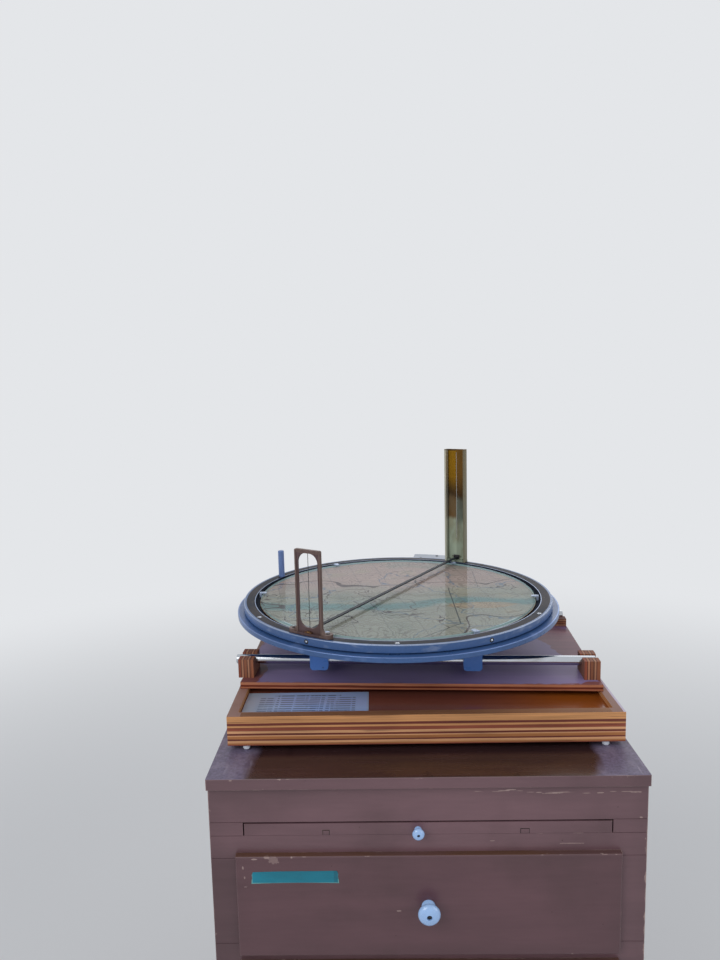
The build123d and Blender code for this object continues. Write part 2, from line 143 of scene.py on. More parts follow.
class StageSettings(bpy.types.PropertyGroup):
    """Light and camera."""

    lens: number_setting("Lens", "Focal length in mm", 27.55, 1.0)
    camera_place: bpy.props.FloatVectorProperty(
        name="Camera place",
        description="Where the camera stands",
        subtype="TRANSLATION",
        default=(-0.0671, -1.4025, 1.7088),
    )
    camera_yaw: angle_setting("Yaw", "Turn to the right", -0.0234)
    camera_pitch: angle_setting("Pitch", "Tilt down", 0.1285)
    camera_roll: angle_setting("Roll", "Tilt to the side", -0.0231)
    key: number_setting("Key lamp", "Power of the key lamp in watts", 62.0)
    fill: number_setting("Fill lamp", "Power of the fill lamp in watts", 26.0)
    sky: number_setting("Sky", "Strength of the surrounding light", 0.5)


class Wire:
    """A value in a shader that Python expressions can work on."""

    def __init__(self, owner, socket):
        self.owner = owner
        self.socket = socket

    def maths(self, operation, *values):
        node = self.owner.node("ShaderNodeMath", {"operation": operation}, dict(enumerate(values)))
        return Wire(self.owner, node.outputs[0])

    def __add__(self, other):
        return self.maths("ADD", self, other)

    def __sub__(self, other):
        return self.maths("SUBTRACT", self, other)

    def __rsub__(self, other):
        return self.maths("SUBTRACT", other, self)

    def __mul__(self, other):
        return self.maths("MULTIPLY", self, other)

    def __truediv__(self, other):
        return self.maths("DIVIDE", self, other)

    def __abs__(self):
        return self.maths("ABSOLUTE", self)

    def least(self, other):
        return self.maths("MINIMUM", self, other)

    def most(self, other):
        return self.maths("MAXIMUM", self, other)

    def above(self, low, high):
        """0 up to low, 1 from high, smooth between."""
        sockets = {"Value": self, "From Min": low, "From Max": high}
        node = self.owner.node("ShaderNodeMapRange", {"interpolation_type": "SMOOTHSTEP"}, sockets)
        return Wire(self.owner, node.outputs[0])

    def below(self, low, high):
        """1 up to low, 0 from high, smooth between."""
        return 1 - self.above(low, high)

    def stripe(self, spacing, width):
        """1 on thin lines at every multiple of a spacing."""
        return self.maths("PINGPONG", self, spacing / 2).below(width * 0.35, width * 0.65)

    __radd__ = __add__
    __rmul__ = __mul__


class NodeTree:
    """The nodes of a material or of the world."""

    def __init__(self, tree):
        self.tree = tree

    def node(self, kind, settings=None, sockets=None):
        """Adds a node, sets it up, then fills or links its sockets."""
        node = self.tree.nodes.new(kind)
        for key, value in (settings or {}).items():
            if key == "stops":
                ramp = node.color_ramp.elements
                while len(ramp) < len(value):
                    ramp.new(1.0)
                for element, (position, colour) in zip(ramp, value):
                    element.position = position
                    element.color = colour
            else:
                setattr(node, key, value)
        for key, value in (sockets or {}).items():
            self.put(node.inputs[key], value)
        return node

    def put(self, socket, value):
        """Links or sets a socket."""
        if isinstance(value, Wire):
            self.tree.links.new(value.socket, socket)
        else:
            socket.default_value = value

    def seen(self):
        """1 for what the camera sees, mirrors or sees through glass, 0 for light on things."""
        path = self.node("ShaderNodeLightPath")
        camera, mirror, through = (
            Wire(self, path.outputs[f"Is {kind} Ray"]) for kind in ("Camera", "Glossy", "Transmission")
        )
        return (camera + mirror + through).least(1.0)

    def show(self, amount, first, second, output):
        """Shows a mix of two shader nodes."""
        sockets = {0: amount, 1: Wire(self, first.outputs[0]), 2: Wire(self, second.outputs[0])}
        mixer = self.node("ShaderNodeMixShader", {}, sockets)
        self.put(output.inputs["Surface"], Wire(self, mixer.outputs[0]))


class Finish(NodeTree):
    """A procedural material on Object coordinates."""

    def __init__(self, name, **fixed):
        self.material = bpy.data.materials.new(name)
        self.material.use_nodes = True
        super().__init__(self.material.node_tree)
        self.shader = self.tree.nodes["Principled BSDF"]
        coordinates = self.node("ShaderNodeTexCoord")
        self.place = Wire(self, coordinates.outputs["Object"])
        self.facing = Wire(self, coordinates.outputs["Normal"])
        self.feed(**fixed)

    def feed(self, **sockets):
        """Links or sets sockets of the shader, with underscores for spaces."""
        for key, value in sockets.items():
            self.put(self.shader.inputs[key.replace("_", " ")], value)
        return self.material

    def skin(self, colour, rough, relief=None, **more):
        """Feeds the shader a colour, a roughness and a relief of (height, strength, distance)."""
        if relief is not None:
            height, strength, distance = relief
            bump = self.node("ShaderNodeBump", {}, {"Height": height, "Strength": strength, "Distance": distance})
            more["Normal"] = Wire(self, bump.outputs[0])
        return self.feed(Base_Color=colour, Roughness=rough, **more)

    def split(self, vector=None):
        node = self.node("ShaderNodeSeparateXYZ", {}, {0: vector or self.place})
        return [Wire(self, socket) for socket in node.outputs]

    def up(self):
        """How far a face looks up, from -1 to 1."""
        return self.split(self.facing)[2]

    def moved(self, stretch=(1, 1, 1), shift=(0, 0, 0), vector=None):
        sockets = {0: vector or self.place, 1: stretch, 2: shift}
        return Wire(self, self.node("ShaderNodeVectorMath", {"operation": "MULTIPLY_ADD"}, sockets).outputs[0])

    def away_from(self, centre):
        """Object coordinates measured from a centre."""
        return self.split(self.moved((1, 1, 1), [-c for c in centre]))

    def turned(self, angle, centre):
        """Object coordinates measured along a turned frame at a centre."""
        sockets = {"Vector": self.place, "Location": centre, "Rotation": (0, 0, angle)}
        return Wire(self, self.node("ShaderNodeMapping", {"vector_type": "TEXTURE"}, sockets).outputs[0])

    def noise(self, scale, detail=3.0, stretch=(1, 1, 1), seed=0.0, vector=None):
        place = self.moved(stretch, (seed, seed * 0.7, seed * 0.3), vector)
        node = self.node("ShaderNodeTexNoise", {}, {"Vector": place, "Scale": scale, "Detail": detail})
        return Wire(self, node.outputs["Fac"])

    def cells(self, scale, stretch=(1, 1, 1), seed=0.0, feature="F1"):
        sockets = {"Vector": self.moved(stretch, (seed, 0, 0)), "Scale": scale}
        return Wire(self, self.node("ShaderNodeTexVoronoi", {"feature": feature}, sockets).outputs["Distance"])

    def ramp(self, value, stops):
        node = self.node("ShaderNodeValToRGB", {"stops": stops}, {"Fac": value})
        return Wire(self, node.outputs["Color"])

    def blend(self, amount, first, second, how="MIX"):
        node = self.node("ShaderNodeMix", {"data_type": "RGBA", "blend_type": how}, {0: amount, 6: first, 7: second})
        return Wire(self, node.outputs[2])

    def coats(self, colour, *layers):
        """Lays (amount, tint) layers over a colour."""
        for amount, over in layers:
            colour = self.blend(amount, colour, over)
        return colour

    def blend_value(self, amount, first, second):
        """The number first where the amount is 0, second where it is 1."""
        return amount * second + (1 - amount) * first

    def shade(self, colour, amount, low, high):
        """Darkens and lightens a colour by a value round a half."""
        grey = self.ramp(amount, [(0.25, (low, low, low, 1)), (0.75, (high, high, high, 1))])
        return self.blend(1.0, colour, grey, "MULTIPLY")

    def edge(self, low, high):
        """How far a point on a box is from the box's nearest edge."""
        x, y, z = ((b - a) / 2 - abs(part - (a + b) / 2) for part, a, b in zip(self.split(), low, high))
        return x.least(y).most(x.most(y).least(z))

    def spot(self, centre, size, ragged=0.5, grain=90.0):
        """1 inside a ragged ellipsoid."""
        away = self.moved([1 / s for s in size], [-c / s for c, s in zip(centre, size)])
        length = self.node("ShaderNodeVectorMath", {"operation": "LENGTH"}, {0: away})
        return (Wire(self, length.outputs["Value"]) + (self.noise(grain) - 0.5) * ragged * 2).below(0.92, 1.05)

    def round_about(self, centre):
        """Radius and angle round an upright axis."""
        x, y, _ = self.away_from(centre)
        square = x * x + y * y
        return square.maths("SQRT", square), x.maths("ARCTAN2", y, x)


def dress(material, *names):
    """Gives CAD nodes a material."""
    for name in names:
        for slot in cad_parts[name].material_slots:
            slot.material = material


def clear():
    """Object mode with nothing selected."""
    if bpy.context.mode != "OBJECT":
        bpy.ops.object.mode_set(mode="OBJECT")
    bpy.ops.object.select_all(action="DESELECT")


def pick(test):
    """In edit mode, selects the faces whose middle and normal pass a test."""
    bpy.ops.mesh.select_mode(type="FACE")
    bpy.ops.mesh.select_all(action="DESELECT")
    mesh = bpy.context.object.data
    shape = bmesh.from_edit_mesh(mesh)
    for face in shape.faces:
        face.select_set(test(face.calc_center_median(), face.normal))
    bmesh.update_edit_mesh(mesh)


def settle(piece, place=None):
    """Puts a piece's place into its mesh and smooths its round faces."""
    if bpy.context.mode != "OBJECT":
        bpy.ops.mesh.select_all(action="SELECT")
        bpy.ops.mesh.normals_make_consistent(inside=False)
    clear()
    piece.select_set(True)
    bpy.context.view_layer.objects.active = piece
    bpy.ops.object.transform_apply(location=True, rotation=True, scale=True)
    if place is not None:
        piece.data.transform(place)
    bpy.ops.object.shade_smooth_by_angle(angle=math.radians(35))
    piece.select_set(False)
    return piece


def turned_piece(name, profile, sides=32):
    """A round piece along +Z: a disc extruded and resized through steps of (radius, height)."""
    clear()
    radius, height = profile[0]
    bpy.ops.mesh.primitive_circle_add(
        vertices=sides, radius=radius, fill_type="NGON", location=(0, 0, height), enter_editmode=True
    )
    piece = bpy.context.object
    piece.name = name
    for next_radius, next_height in profile[1:]:
        bpy.ops.mesh.extrude_region_move(TRANSFORM_OT_translate={"value": (0, 0, next_height - height)})
        grow = next_radius / radius
        bpy.ops.transform.resize(value=(grow, grow, 1), center_override=(0, 0, next_height))
        radius, height = next_radius, next_height
    return settle(piece)


def bar_piece(name, low, high, round_over=0.0):
    """A bar between two corners with rounded edges."""
    clear()
    low, high = Vector(low), Vector(high)
    bpy.ops.mesh.primitive_cube_add(size=1, location=(low + high) / 2, scale=high - low)
    piece = bpy.context.object
    piece.name = name
    bpy.ops.object.transform_apply(location=True, rotation=True, scale=True)
    if round_over:
        bpy.ops.object.mode_set(mode="EDIT")
        bpy.ops.mesh.select_all(action="SELECT")
        bpy.ops.mesh.bevel(offset=round_over, segments=2, affect="EDGES")
    return settle(piece)


def cut(piece, cutter):
    """Cuts one piece out of another and removes the cutter."""
    clear()
    piece.select_set(True)
    bpy.context.view_layer.objects.active = piece
    modifier = piece.modifiers.new("cut", "BOOLEAN")
    modifier.operation = "DIFFERENCE"
    modifier.object = cutter
    bpy.ops.object.modifier_apply(modifier=modifier.name)
    bpy.data.objects.remove(cutter)
    return piece


def copied(piece, place):
    """A copy of a piece with its own mesh, moved by a matrix."""
    twin = piece.copy()
    twin.data = piece.data.copy()
    twin.data.transform(place)
    bpy.context.scene.collection.objects.link(twin)
    return twin


def joined(name, pieces):
    """Several pieces as one object."""
    clear()
    for piece in pieces:
        piece.select_set(True)
    bpy.context.view_layer.objects.active = pieces[0]
    bpy.ops.object.join()
    pieces[0].name = name
    clear()
    return pieces[0]


def hand_over(piece, material, body, slot, *replaced):
    """Material and body of a finished piece; its slot argument is not used."""
    piece.data.materials.clear()
    piece.data.materials.append(material)
    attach(piece, body)
    if replaced:
        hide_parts(*replaced)
    return piece


def slotted_screw(name, radius, height, slot_width):
    """A raised screw head with one slot, along +Z from the surface that it sits in."""
    steps = (1.0, -0.3), (1.0, 0.25), (0.86, 0.72), (0.5, 1.0)
    head = turned_piece(name, [(out * radius, up * height) for out, up in steps], 24)
    half_length, half_width = 1.2 * radius, slot_width / 2
    low, high = (-half_length, -half_width, 0.35 * height), (half_length, half_width, 2 * height)
    return cut(head, bar_piece("slot", low, high))


def facing_matrix(place, direction, spin=0.0):
    """Matrix that stands a +Z piece on a place, along a direction."""
    turn = Vector(direction).to_track_quat("Z", "Y").to_matrix().to_4x4()
    return Matrix.Translation(place) @ turn @ Matrix.Rotation(spin, 4, "Z")


def middle(name):
    """Middle of a node's box."""
    low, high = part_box(name)
    return (low + high) / 2


def ring_place(angle, radius, height):
    """Point at an angle in degrees and a radius round the ring's axis."""
    centre = middle("azimuth_ring")
    along = math.radians(angle)
    return Vector((centre.x + radius * math.cos(along), centre.y + radius * math.sin(along), height))


def bearing(name):
    """Angle in degrees at which a node stands round the ring's axis."""
    away = middle(name) - middle("azimuth_ring")
    return math.degrees(math.atan2(away.y, away.x))


def four(kind):
    """Names of the four nodes of a kind, front ones first."""
    return [f"{kind}_{place}_{hand}" for place in ("front", "rear") for hand in ("left", "right")]


def scattered(name, model, places, material, body, slot, last=True):
    """Copies of a piece at several places, as one piece. The model goes after its last use."""
    piece = joined(name, [copied(model, place) for place in places])
    if last:
        bpy.data.objects.remove(model)
    return hand_over(piece, material, body, slot)


def on_ring(angle, radius, height, spin=0.0):
    """Matrix that stands a +Z piece at an angle in degrees and a radius round the ring's axis."""
    return Matrix.Translation(ring_place(angle, radius, height)) @ Matrix.Rotation(spin, 4, "Z")


def marks_on(y, depth, rows):
    """Places, sizes and strengths of marks on a front, from rows of x, z and half sizes in mm."""
    return [((x * MM, y, z * MM), (wide * MM, depth, high * MM), much) for x, z, wide, high, much in rows]


def painted_wood(name, paint, undercoat, low, high, grain, wear=1.0, chips=(), scratches=(), worn=None):
    """Brushed oil paint on wood, worn pale along the edges of a box, chipped in places."""
    f = Finish(name)
    cloud = f.noise(2.6, 4.0, seed=1.3)
    brush = f.noise(34.0, 4.0, grain, 2.1)
    fine = f.noise(150.0, 3.0, grain, 5.0)
    grime = f.noise(7.0, 6.0, seed=8.0)
    edge = f.edge(low, high)
    colour = f.shade(f.shade(paint, cloud, 0.86, 1.13), brush, 0.9, 1.1)
    dirt = (edge.below(0.002, 0.035) * 0.5 + grime.above(0.5, 0.75)) * 0.28
    colour = f.blend(dirt, f.shade(colour, fine, 0.95, 1.05), tint(62, 46, 46))
    nick = f.noise(85.0, 3.0, seed=3.0)
    run = f.noise(11.0, 2.0, seed=4.4)
    arris = edge.below(0.0005, 0.0013) * (0.2 + run * 0.4)
    rub = (edge + (nick - 0.5) * 0.004).below(0.0004, 0.0011) * run.above(0.5, 0.58)
    flake = edge.below(0.002, 0.004) * f.noise(70.0, 2.0, seed=6.6).above(0.66, 0.7) * run.above(0.5, 0.56)
    bare = rub.most(flake).most(arris) * wear
    for centre, size, much in chips:
        bare = bare.most(f.spot(centre, size, 0.7, 260.0) * much)
    for centre, size, much in scratches:
        line = f.noise(26.0, 3.0, (0.35, 1, 6.0), 9.0).above(0.6, 0.66)
        bare = bare.most(f.spot(centre, size, 0.2, 20.0) * line * much)
    speck = f.cells(42.0, seed=1.0).below(0.035, 0.06) * f.noise(5.0, 1.0, seed=7.0).above(0.56, 0.6)
    colour = f.coats(colour, (bare * 0.8, f.shade(undercoat, nick, 0.8, 1.15)), (speck * 0.6, tint(64, 46, 46)))
    height = brush * 0.5 + fine * 0.25 + cloud * 0.3 - bare * 0.8
    rough = 0.34 + (grime - 0.5) * 0.3 + bare * 0.25
    # the worn hook lays wear and painted shade over the paint
    if worn is not None:
        colour, rough, height = worn(f, colour, rough, height)
    return f.skin(colour, rough, (height, 0.25, 0.0008))


def bare_upper_edge(f, colour, rough, height):
    """The upper edge of a drawer front, brown as bare wood and darkened as painted shade of the gap under the rail
    above.
    """
    upper_face = f.up().above(0.75, 0.9)
    worn = f.noise(14.0, 5.0, (0.3, 1, 1), 2.0).above(0.3, 0.6) * 0.7 + 0.2
    # brown of bare wood, darker as painted shade of the gap above the drawer front
    wood = f.shade(tint(90, 58, 38), f.noise(40.0, 4.0, (0.1, 1, 1), 3.0), 0.7, 1.3)
    return f.blend(upper_face * worn, colour, wood), f.blend_value(upper_face, rough, 0.7), height


def hand_grime(f, colour, rough, height):
    """A darker left stile, low down: painted shade."""
    x, _, z = f.split()
    # painted shade on the lower left of the face frame
    grime = z.below(0.96, 1.0) * x.below(-0.31, -0.2)
    return f.blend(grime * 0.44, colour, tint(58, 38, 40)), rough, height


def worn_top(s):
    """The cabinet top: glossy dark brown in the middle, worn and darkened as painted shade, darkest towards the back
    as a painted shadow of the base, and crackled mauve grey at both ends, lightened as a painted reflection.
    """

    def over(f, colour, rough, height):
        x, y, _ = f.split()
        flat = f.up().above(0.5, 0.8)
        ragged = (f.noise(30.0, 5.0, (1, 0.5, 1), 12.0) - 0.5) * 0.05
        slant = x - (y + 0.264) * 0.31
        middle_zone = (x + ragged).above(-0.297, -0.265) * (slant + ragged).below(0.276, 0.298)
        hairs = f.noise(120.0, 4.0, (0.08, 1, 1), 8.0)
        scar = f.noise(38.0, 5.0, (1, 0.3, 1), 4.0).above(0.6, 0.66) * f.noise(6.0, 2.0, seed=2.0).above(0.52, 0.6)
        # the dark middle: worn varnish, darkened further as painted shade
        old = f.shade(s.worn_top, f.noise(9.0, 5.0, (0.4, 1, 1), 3.0), 0.7, 1.3)
        old = f.blend(f.noise(16.0, 5.0, (0.3, 1, 1), 6.0).above(0.5, 0.68) * 0.45, old, tint(86, 60, 40))
        old = f.coats(
            f.shade(old, hairs, 0.85, 1.15),
            # darkest towards the back: painted shadow of the base
            ((y + ragged * 0.4).above(-0.335, -0.285) * 0.5, tint(36, 26, 30)),
            (scar * 0.7, tint(38, 24, 24)),
        )
        crackle = f.noise(260.0, 4.0, (1, 1, 1), 5.0)
        marks = f.noise(70.0, 4.0, (1, 0.1, 1), 14.0).above(0.58, 0.64) * f.noise(9.0, 2.0, seed=9.0).above(0.45, 0.55)
        # the ends: crackled rough coat, lightened as a painted reflection
        ends = f.coats(
            f.shade(s.top_ends, crackle, 0.66, 1.36),
            (f.noise(40.0, 4.0, seed=1.0).above(0.5, 0.62) * 0.3, tint(146, 134, 152)),
            (marks * 0.5, tint(164, 154, 172)),
        )
        rough = f.blend_value(flat, rough, 0.5 - middle_zone * 0.24 + (hairs - 0.5) * 0.1)
        height = height + flat * (crackle * (1 - middle_zone) * 1.6 + hairs * 0.4 - scar)
        return f.blend(flat, colour, f.blend(middle_zone, ends, old)), rough, height

    return over


def raw_wood(name, pale, dark, grain, sides=None):
    """Plain softwood with straight grain; where a colour is given, its upright sides take it, with little sheen, as
    painted shade.
    """
    f = Finish(name, Specular_IOR_Level=0.5 if sides is None else 0.05)
    wide = f.noise(9.0, 3.0, grain, 2.0)
    fine = f.noise(70.0, 4.0, grain, 4.0)
    colour = f.shade(f.blend(wide.above(0.38, 0.66), pale, dark), fine, 0.86, 1.1)
    colour = f.blend(f.noise(3.0, 5.0, seed=6.0).above(0.52, 0.72) * 0.3, colour, tint(92, 66, 48))
    if sides is not None:
        # upright sides take the given colour: painted shade
        colour = f.blend(abs(f.up()).below(0.4, 0.7), colour, sides)
    return f.skin(colour, 0.62 + (fine - 0.5) * 0.3, (fine + wide * 0.5, 0.3, 0.0006))


def ply_layers(f, through, low, high, layers, waver):
    """Colours of a plywood edge, from (thickness share, colour) of each layer upwards."""
    total = sum(share for share, _ in layers)
    stops, reached = [], 0.0
    for share, colour in layers:
        stops.append((reached / total + 0.008, colour))
        reached += share
        stops.append((reached / total - 0.008, colour))
    level = (through - low) / (high - low) + (waver - 0.5) * 0.035
    return f.ramp(level, stops)


def enamel(name, paint, bright, gloss=0.3, centre=None, top=0.0, rims=(), gap=None, below=None):
    """Factory enamel on cast iron.

    Round a centre it is worn to pale metal on rims of (radius, width) at the top, painted near black in a gap of
    (inner radius, outer radius, bottom, top) as painted shade, and lighter and more blue below a height as painted sky
    light.
    """
    f = Finish(name, Specular_IOR_Level=0.36)
    cloud = f.noise(7.0, 5.0, seed=2.0)
    grain = f.noise(240.0, 3.0)
    scuff = f.noise(26.0, 5.0, (1, 1, 2.5), 5.0)
    rough = gloss + (scuff - 0.5) * 0.25
    colour = f.shade(f.shade(paint, cloud, 0.84, 1.16), grain, 0.93, 1.07)
    colour = f.blend(scuff.above(0.58, 0.72) * 0.35, colour, bright)
    if centre is not None:
        radius, _ = f.round_about(centre)
        z = f.split()[2]
        wear = 0.0
        for rim, width in rims:
            wear = wear + abs(radius - rim).below(width * 0.4, width)
        wear = wear * z.above(top - 0.0016, top - 0.0006)
        colour = f.blend(wear * (0.45 + scuff * 0.6), colour, bright)
        if below is not None:
            # painted sky light: below the height the shaded parts under the rim are lighter and more blue
            skylit_blue = f.shade(tint(92, 142, 222), cloud, 0.84, 1.16)
            colour = f.blend(z.below(below - 0.004, below) * 0.75, colour, skylit_blue)
        inner, outer, low, high = gap
        # the gap painted near black and matt: painted shade
        darkening = radius.above(inner, inner + 0.0004) * radius.below(outer - 0.0003, outer)
        darkening = darkening * z.above(low, low + 0.0004) * z.below(high, high + 0.0003)
        colour = f.blend(darkening * 0.92, colour, tint(14, 16, 20))
        rough = f.blend_value(darkening, rough, 0.95)
        f.feed(Metallic=wear * 0.7)
    pits = f.cells(60.0, seed=4.0).below(0.05, 0.09) * cloud.above(0.55, 0.6)
    colour = f.blend(pits * 0.7, colour, tint(46, 44, 44))
    return f.skin(colour, rough, (grain * 0.4 + cloud * 0.6 - pits, 0.3, 0.0005))


def worn_metal(name, metal, dark, scale=60.0, roughness=0.34, metallic=0.85):
    """Handled metal with brown patina in its low places."""
    f = Finish(name, Metallic=metallic)
    cloud = f.noise(scale * 0.35, 5.0, seed=1.0)
    streak = f.noise(scale * 3, 3.0, (1, 1, 0.15), 3.0)
    colour = f.shade(f.blend(cloud.above(0.42, 0.66) * 0.65, metal, dark), streak, 0.84, 1.16)
    return f.skin(colour, roughness + (cloud - 0.5) * 0.35, (streak * 0.4 + cloud, 0.2, 0.0003))


def surround(context, s, studio):
    """A world that lights the object softly and shows a plain studio."""
    world = bpy.data.worlds.new("studio")
    context.scene.world = world
    world.use_nodes = True
    world.node_tree.nodes.clear()
    w = NodeTree(world.node_tree)
    lit = w.node("ShaderNodeBackground", {}, {"Color": tint(246, 249, 255), "Strength": s.sky})
    shown = w.node("ShaderNodeBackground", {}, {"Color": studio, "Strength": 1.0})
    w.show(w.seen(), lit, shown, w.node("ShaderNodeOutputWorld"))


def stand_camera(context, s):
    """Puts a camera where the photograph was taken from."""
    yaw, pitch, roll = s.camera_yaw, s.camera_pitch, s.camera_roll
    level = Vector((math.sin(yaw), math.cos(yaw), 0))
    side = Vector((math.cos(yaw), -math.sin(yaw), 0))
    ahead = level * math.cos(pitch) - Vector((0, 0, math.sin(pitch)))
    over = Vector((0, 0, math.cos(pitch))) + level * math.sin(pitch)
    right = side * math.cos(roll) + over * math.sin(roll)
    up = over * math.cos(roll) - side * math.sin(roll)
    bpy.ops.object.camera_add()
    camera = context.object
    camera.name = "photo_camera"
    camera.data.lens = s.lens
    camera.data.sensor_width = 36.0
    camera.data.clip_start = 0.05
    camera.matrix_world = Matrix.Translation(s.camera_place) @ Matrix((right, up, -ahead)).transposed().to_4x4()
    context.scene.camera = camera


class DressStage(bpy.types.Operator):
    """Floor, light and camera"""

    bl_idname = "fire_finder.stage"
    bl_label = "Stage"

    def execute(self, context):
        s = context.scene.fire_finder_stage
        studio = tint(228, 230, 233)
        clear()
        bpy.ops.mesh.primitive_circle_add(vertices=96, radius=40.0, fill_type="NGON", location=(0, 0, 0))
        floor = context.object
        floor.name = "stage_floor"
        f = Finish("floor_paint", Roughness=0.9, Specular_IOR_Level=0.1, Base_Color=tint(226, 227, 228))
        radius, _ = f.round_about((0, 0, 0))
        light = f.node("ShaderNodeEmission", {}, {"Color": studio, "Strength": 1.0})
        f.show(radius.above(1.6, 5.0) * f.seen(), f.shader, light, f.tree.nodes["Material Output"])
        floor.data.materials.append(f.material)

        surround(context, s, studio)
        aim = Vector((0, 0, 1.0))
        for name, place, size, power in (
            ("key_lamp", (-2.6, -3.0, 3.6), 2.6, s.key),
            ("fill_lamp", (3.2, -1.6, 2.6), 2.6, s.fill),
            ("back_lamp", (0.6, 3.4, 3.2), 3.0, s.fill),
        ):
            bpy.ops.object.light_add(type="AREA", location=place)
            lamp = context.object
            lamp.name = name
            lamp.data.size = size
            lamp.data.energy = power
            lamp.rotation_euler = (aim - Vector(place)).to_track_quat("-Z", "Y").to_euler()

        stand_camera(context, s)
        context.scene.view_settings.view_transform = "Standard"
        return {"FINISHED"}


class DressCabinet(bpy.types.Operator):
    """Paint on the cabinet and bare wood inside it"""

    bl_idname = "fire_finder.cabinet"
    bl_label = "Cabinet paint"

    def execute(self, context):
        s = context.scene.fire_finder_cabinet
        along_x, along_z, along_y = (0.12, 1, 1), (1, 1, 0.12), (1, 0.12, 1)
        coats = s.paint, s.undercoat
        frame_low, frame_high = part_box("face_frame")
        front = frame_low.y
        top_low, top_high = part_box("top_lipping")[0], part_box("cabinet_top")[1]
        for name in ("cabinet_top", "top_lipping"):
            low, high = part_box(name)
            low.y, high.y = top_low.y, top_high.y
            dress(painted_wood(f"{name}_paint", *coats, low, high, along_x, worn=worn_top(s)), name)
        for name in ("left_side", "right_side", "back_panel"):
            dress(painted_wood(f"{name}_paint", *coats, *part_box(name), along_z), name)
        right = frame_high.x / MM
        chips = [
            (right, 935, 2.5, 10, 0.9), (right, 868, 2.2, 7, 0.9), (right, 845, 1.8, 12, 0.8),
            (right, 985, 1.4, 16, 0.7), (right, 905, 1.4, 13, 0.8), (right, 812, 2.0, 9, 0.8),
            (331, 1036, 2.2, 1.4, 0.9), (322, 1078, 9, 1.2, 0.8), (175, 1011.5, 7, 0.9, 0.7),
            (236, 1011.5, 12, 0.9, 0.8), (265, 1011.8, 6, 0.9, 0.7), (102, 999, 4, 1.0, 0.6),
            (225, 993.7, 20, 0.8, 0.7), (108, 1080.8, 7, 0.8, 0.5), (119, 1082.2, 8, 0.8, 1.0),
            (131, 1083.6, 8, 1.0, 1.0), (143, 1081.8, 5, 0.6, 0.6), (160, 1079.3, 7, 0.6, 0.5),
            (173, 1078.8, 5, 0.8, 0.8), (191, 1077.0, 13, 0.7, 0.7), (201, 1077.8, 8, 1.1, 1.0),
            (215, 1079.0, 6, 0.7, 0.6), (246, 1076.8, 6, 0.7, 0.7), (268, 1077.2, 5, 1.0, 0.9),
            (287, 1079.0, 6, 0.6, 0.6), (309, 1078.8, 9, 0.7, 0.8),
        ]
        paint = painted_wood(
            "face_frame_paint", *coats, frame_low, frame_high, along_x,
            chips=marks_on(front, 0.004, chips),
            scratches=marks_on(front, 0.01, [(125, 1082, 50, 4, 0.6), (215, 1076, 90, 5, 0.6)]),
            worn=hand_grime,
        )
        dress(paint, "face_frame")
        low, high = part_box("pullout_shelf")
        low.y = front - 0.1
        dress(painted_wood("pullout_shelf_paint", *coats, low, high, along_x, 0.6), "pullout_shelf")
        first_drawer_chips = [
            (-241, 976.5, 8.8, 6.0, 0.45), (-251, 981, 4.5, 1.8, 0.8), (-270.9, 978.5, 5.0, 1.4, 0.9),
            (-289, 964, 1.2, 3.0, 0.8), (-287, 948, 1.2, 2.0, 0.8), (-286, 932, 3.0, 0.8, 0.6),
            (262, 985.6, 30, 1.2, 0.8), (-45.8, 889.3, 3.6, 1.3, 0.7),
        ]
        wood = s.raw_wood, tint(150, 108, 70)
        for number in range(1, DRAWERS + 1):
            name = f"drawer_front_{number}"
            low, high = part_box(name)
            high.y = low.y + 0.011
            chips = marks_on(low.y, 0.01, first_drawer_chips if number == 1 else [])
            paint = painted_wood(
                f"{name}_paint", s.drawer_paint, s.undercoat, low, high, along_x, chips=chips, worn=bare_upper_edge
            )
            dress(paint, name)
            dress(raw_wood(f"drawer_box_{number}_wood", *wood, along_y), f"drawer_box_{number}")
        dress(raw_wood("bottom_wood", *wood, along_x), "cabinet_bottom", "floor_bearer")
        return {"FINISHED"}


class AddKnobs(bpy.types.Operator):
    """Ceramic knobs with a screw in the middle"""

    bl_idname = "fire_finder.knobs"
    bl_label = "Knobs"

    def execute(self, context):
        s = context.scene.fire_finder_cabinet
        f = Finish("ceramic_glaze", Coat_Roughness=0.05)
        craze = f.cells(900.0, feature="DISTANCE_TO_EDGE").below(0.02, 0.05)
        dust = f.noise(60.0, 4.0)
        # the glaze colour is tinted blue as painted sky light
        colour = f.blend(craze * 0.16, f.shade(s.ceramic, dust, 0.9, 1.06), tint(120, 112, 104))
        glaze = f.skin(colour, 0.16 + (dust - 0.5) * 0.16, Coat_Weight=0.6 + dust * 0.2)
        dark = worn_metal("knob_screw_metal", tint(60, 58, 60), tint(34, 30, 30), 200.0)
        shares_of_size = [
            (0.62, 0.0), (0.62, 0.05), (0.58, 0.12), (0.46, 0.24), (0.44, 0.34), (0.56, 0.45), (0.8, 0.54),
            (0.94, 0.6), (0.99, 0.65), (1.0, 0.71), (0.98, 0.77), (0.9, 0.85), (0.76, 0.92), (0.56, 0.97),
            (0.36, 0.99), (0.27, 1.0), (0.24, 0.99), (0.235, 0.86),
        ]
        knobs = {"shelf_knob": "shelf"} | {f"drawer_knob_{n}": f"drawer_{n}" for n in range(1, DRAWERS + 1)}
        for name, body in knobs.items():
            low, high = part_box(name)
            wide, deep = (high.x - low.x) / 2, high.y - low.y
            place = facing_matrix(Vector(((low.x + high.x) / 2, high.y, (low.z + high.z) / 2)), (0, -1, 0))
            knob = turned_piece(f"{name}_ceramic", [(r * wide, z * deep) for r, z in shares_of_size], 48)
            knob.data.transform(place)
            hand_over(knob, glaze, body, "knob_ceramic", name)
            screw = slotted_screw(f"{name}_screw", 0.215 * wide, 0.0012, 0.0009)
            screw.data.transform(place @ Matrix.Translation((0, 0, 0.875 * deep)) @ Matrix.Rotation(0.5, 4, "Z"))
            hand_over(screw, dark, body, "chrome")
        return {"FINISHED"}


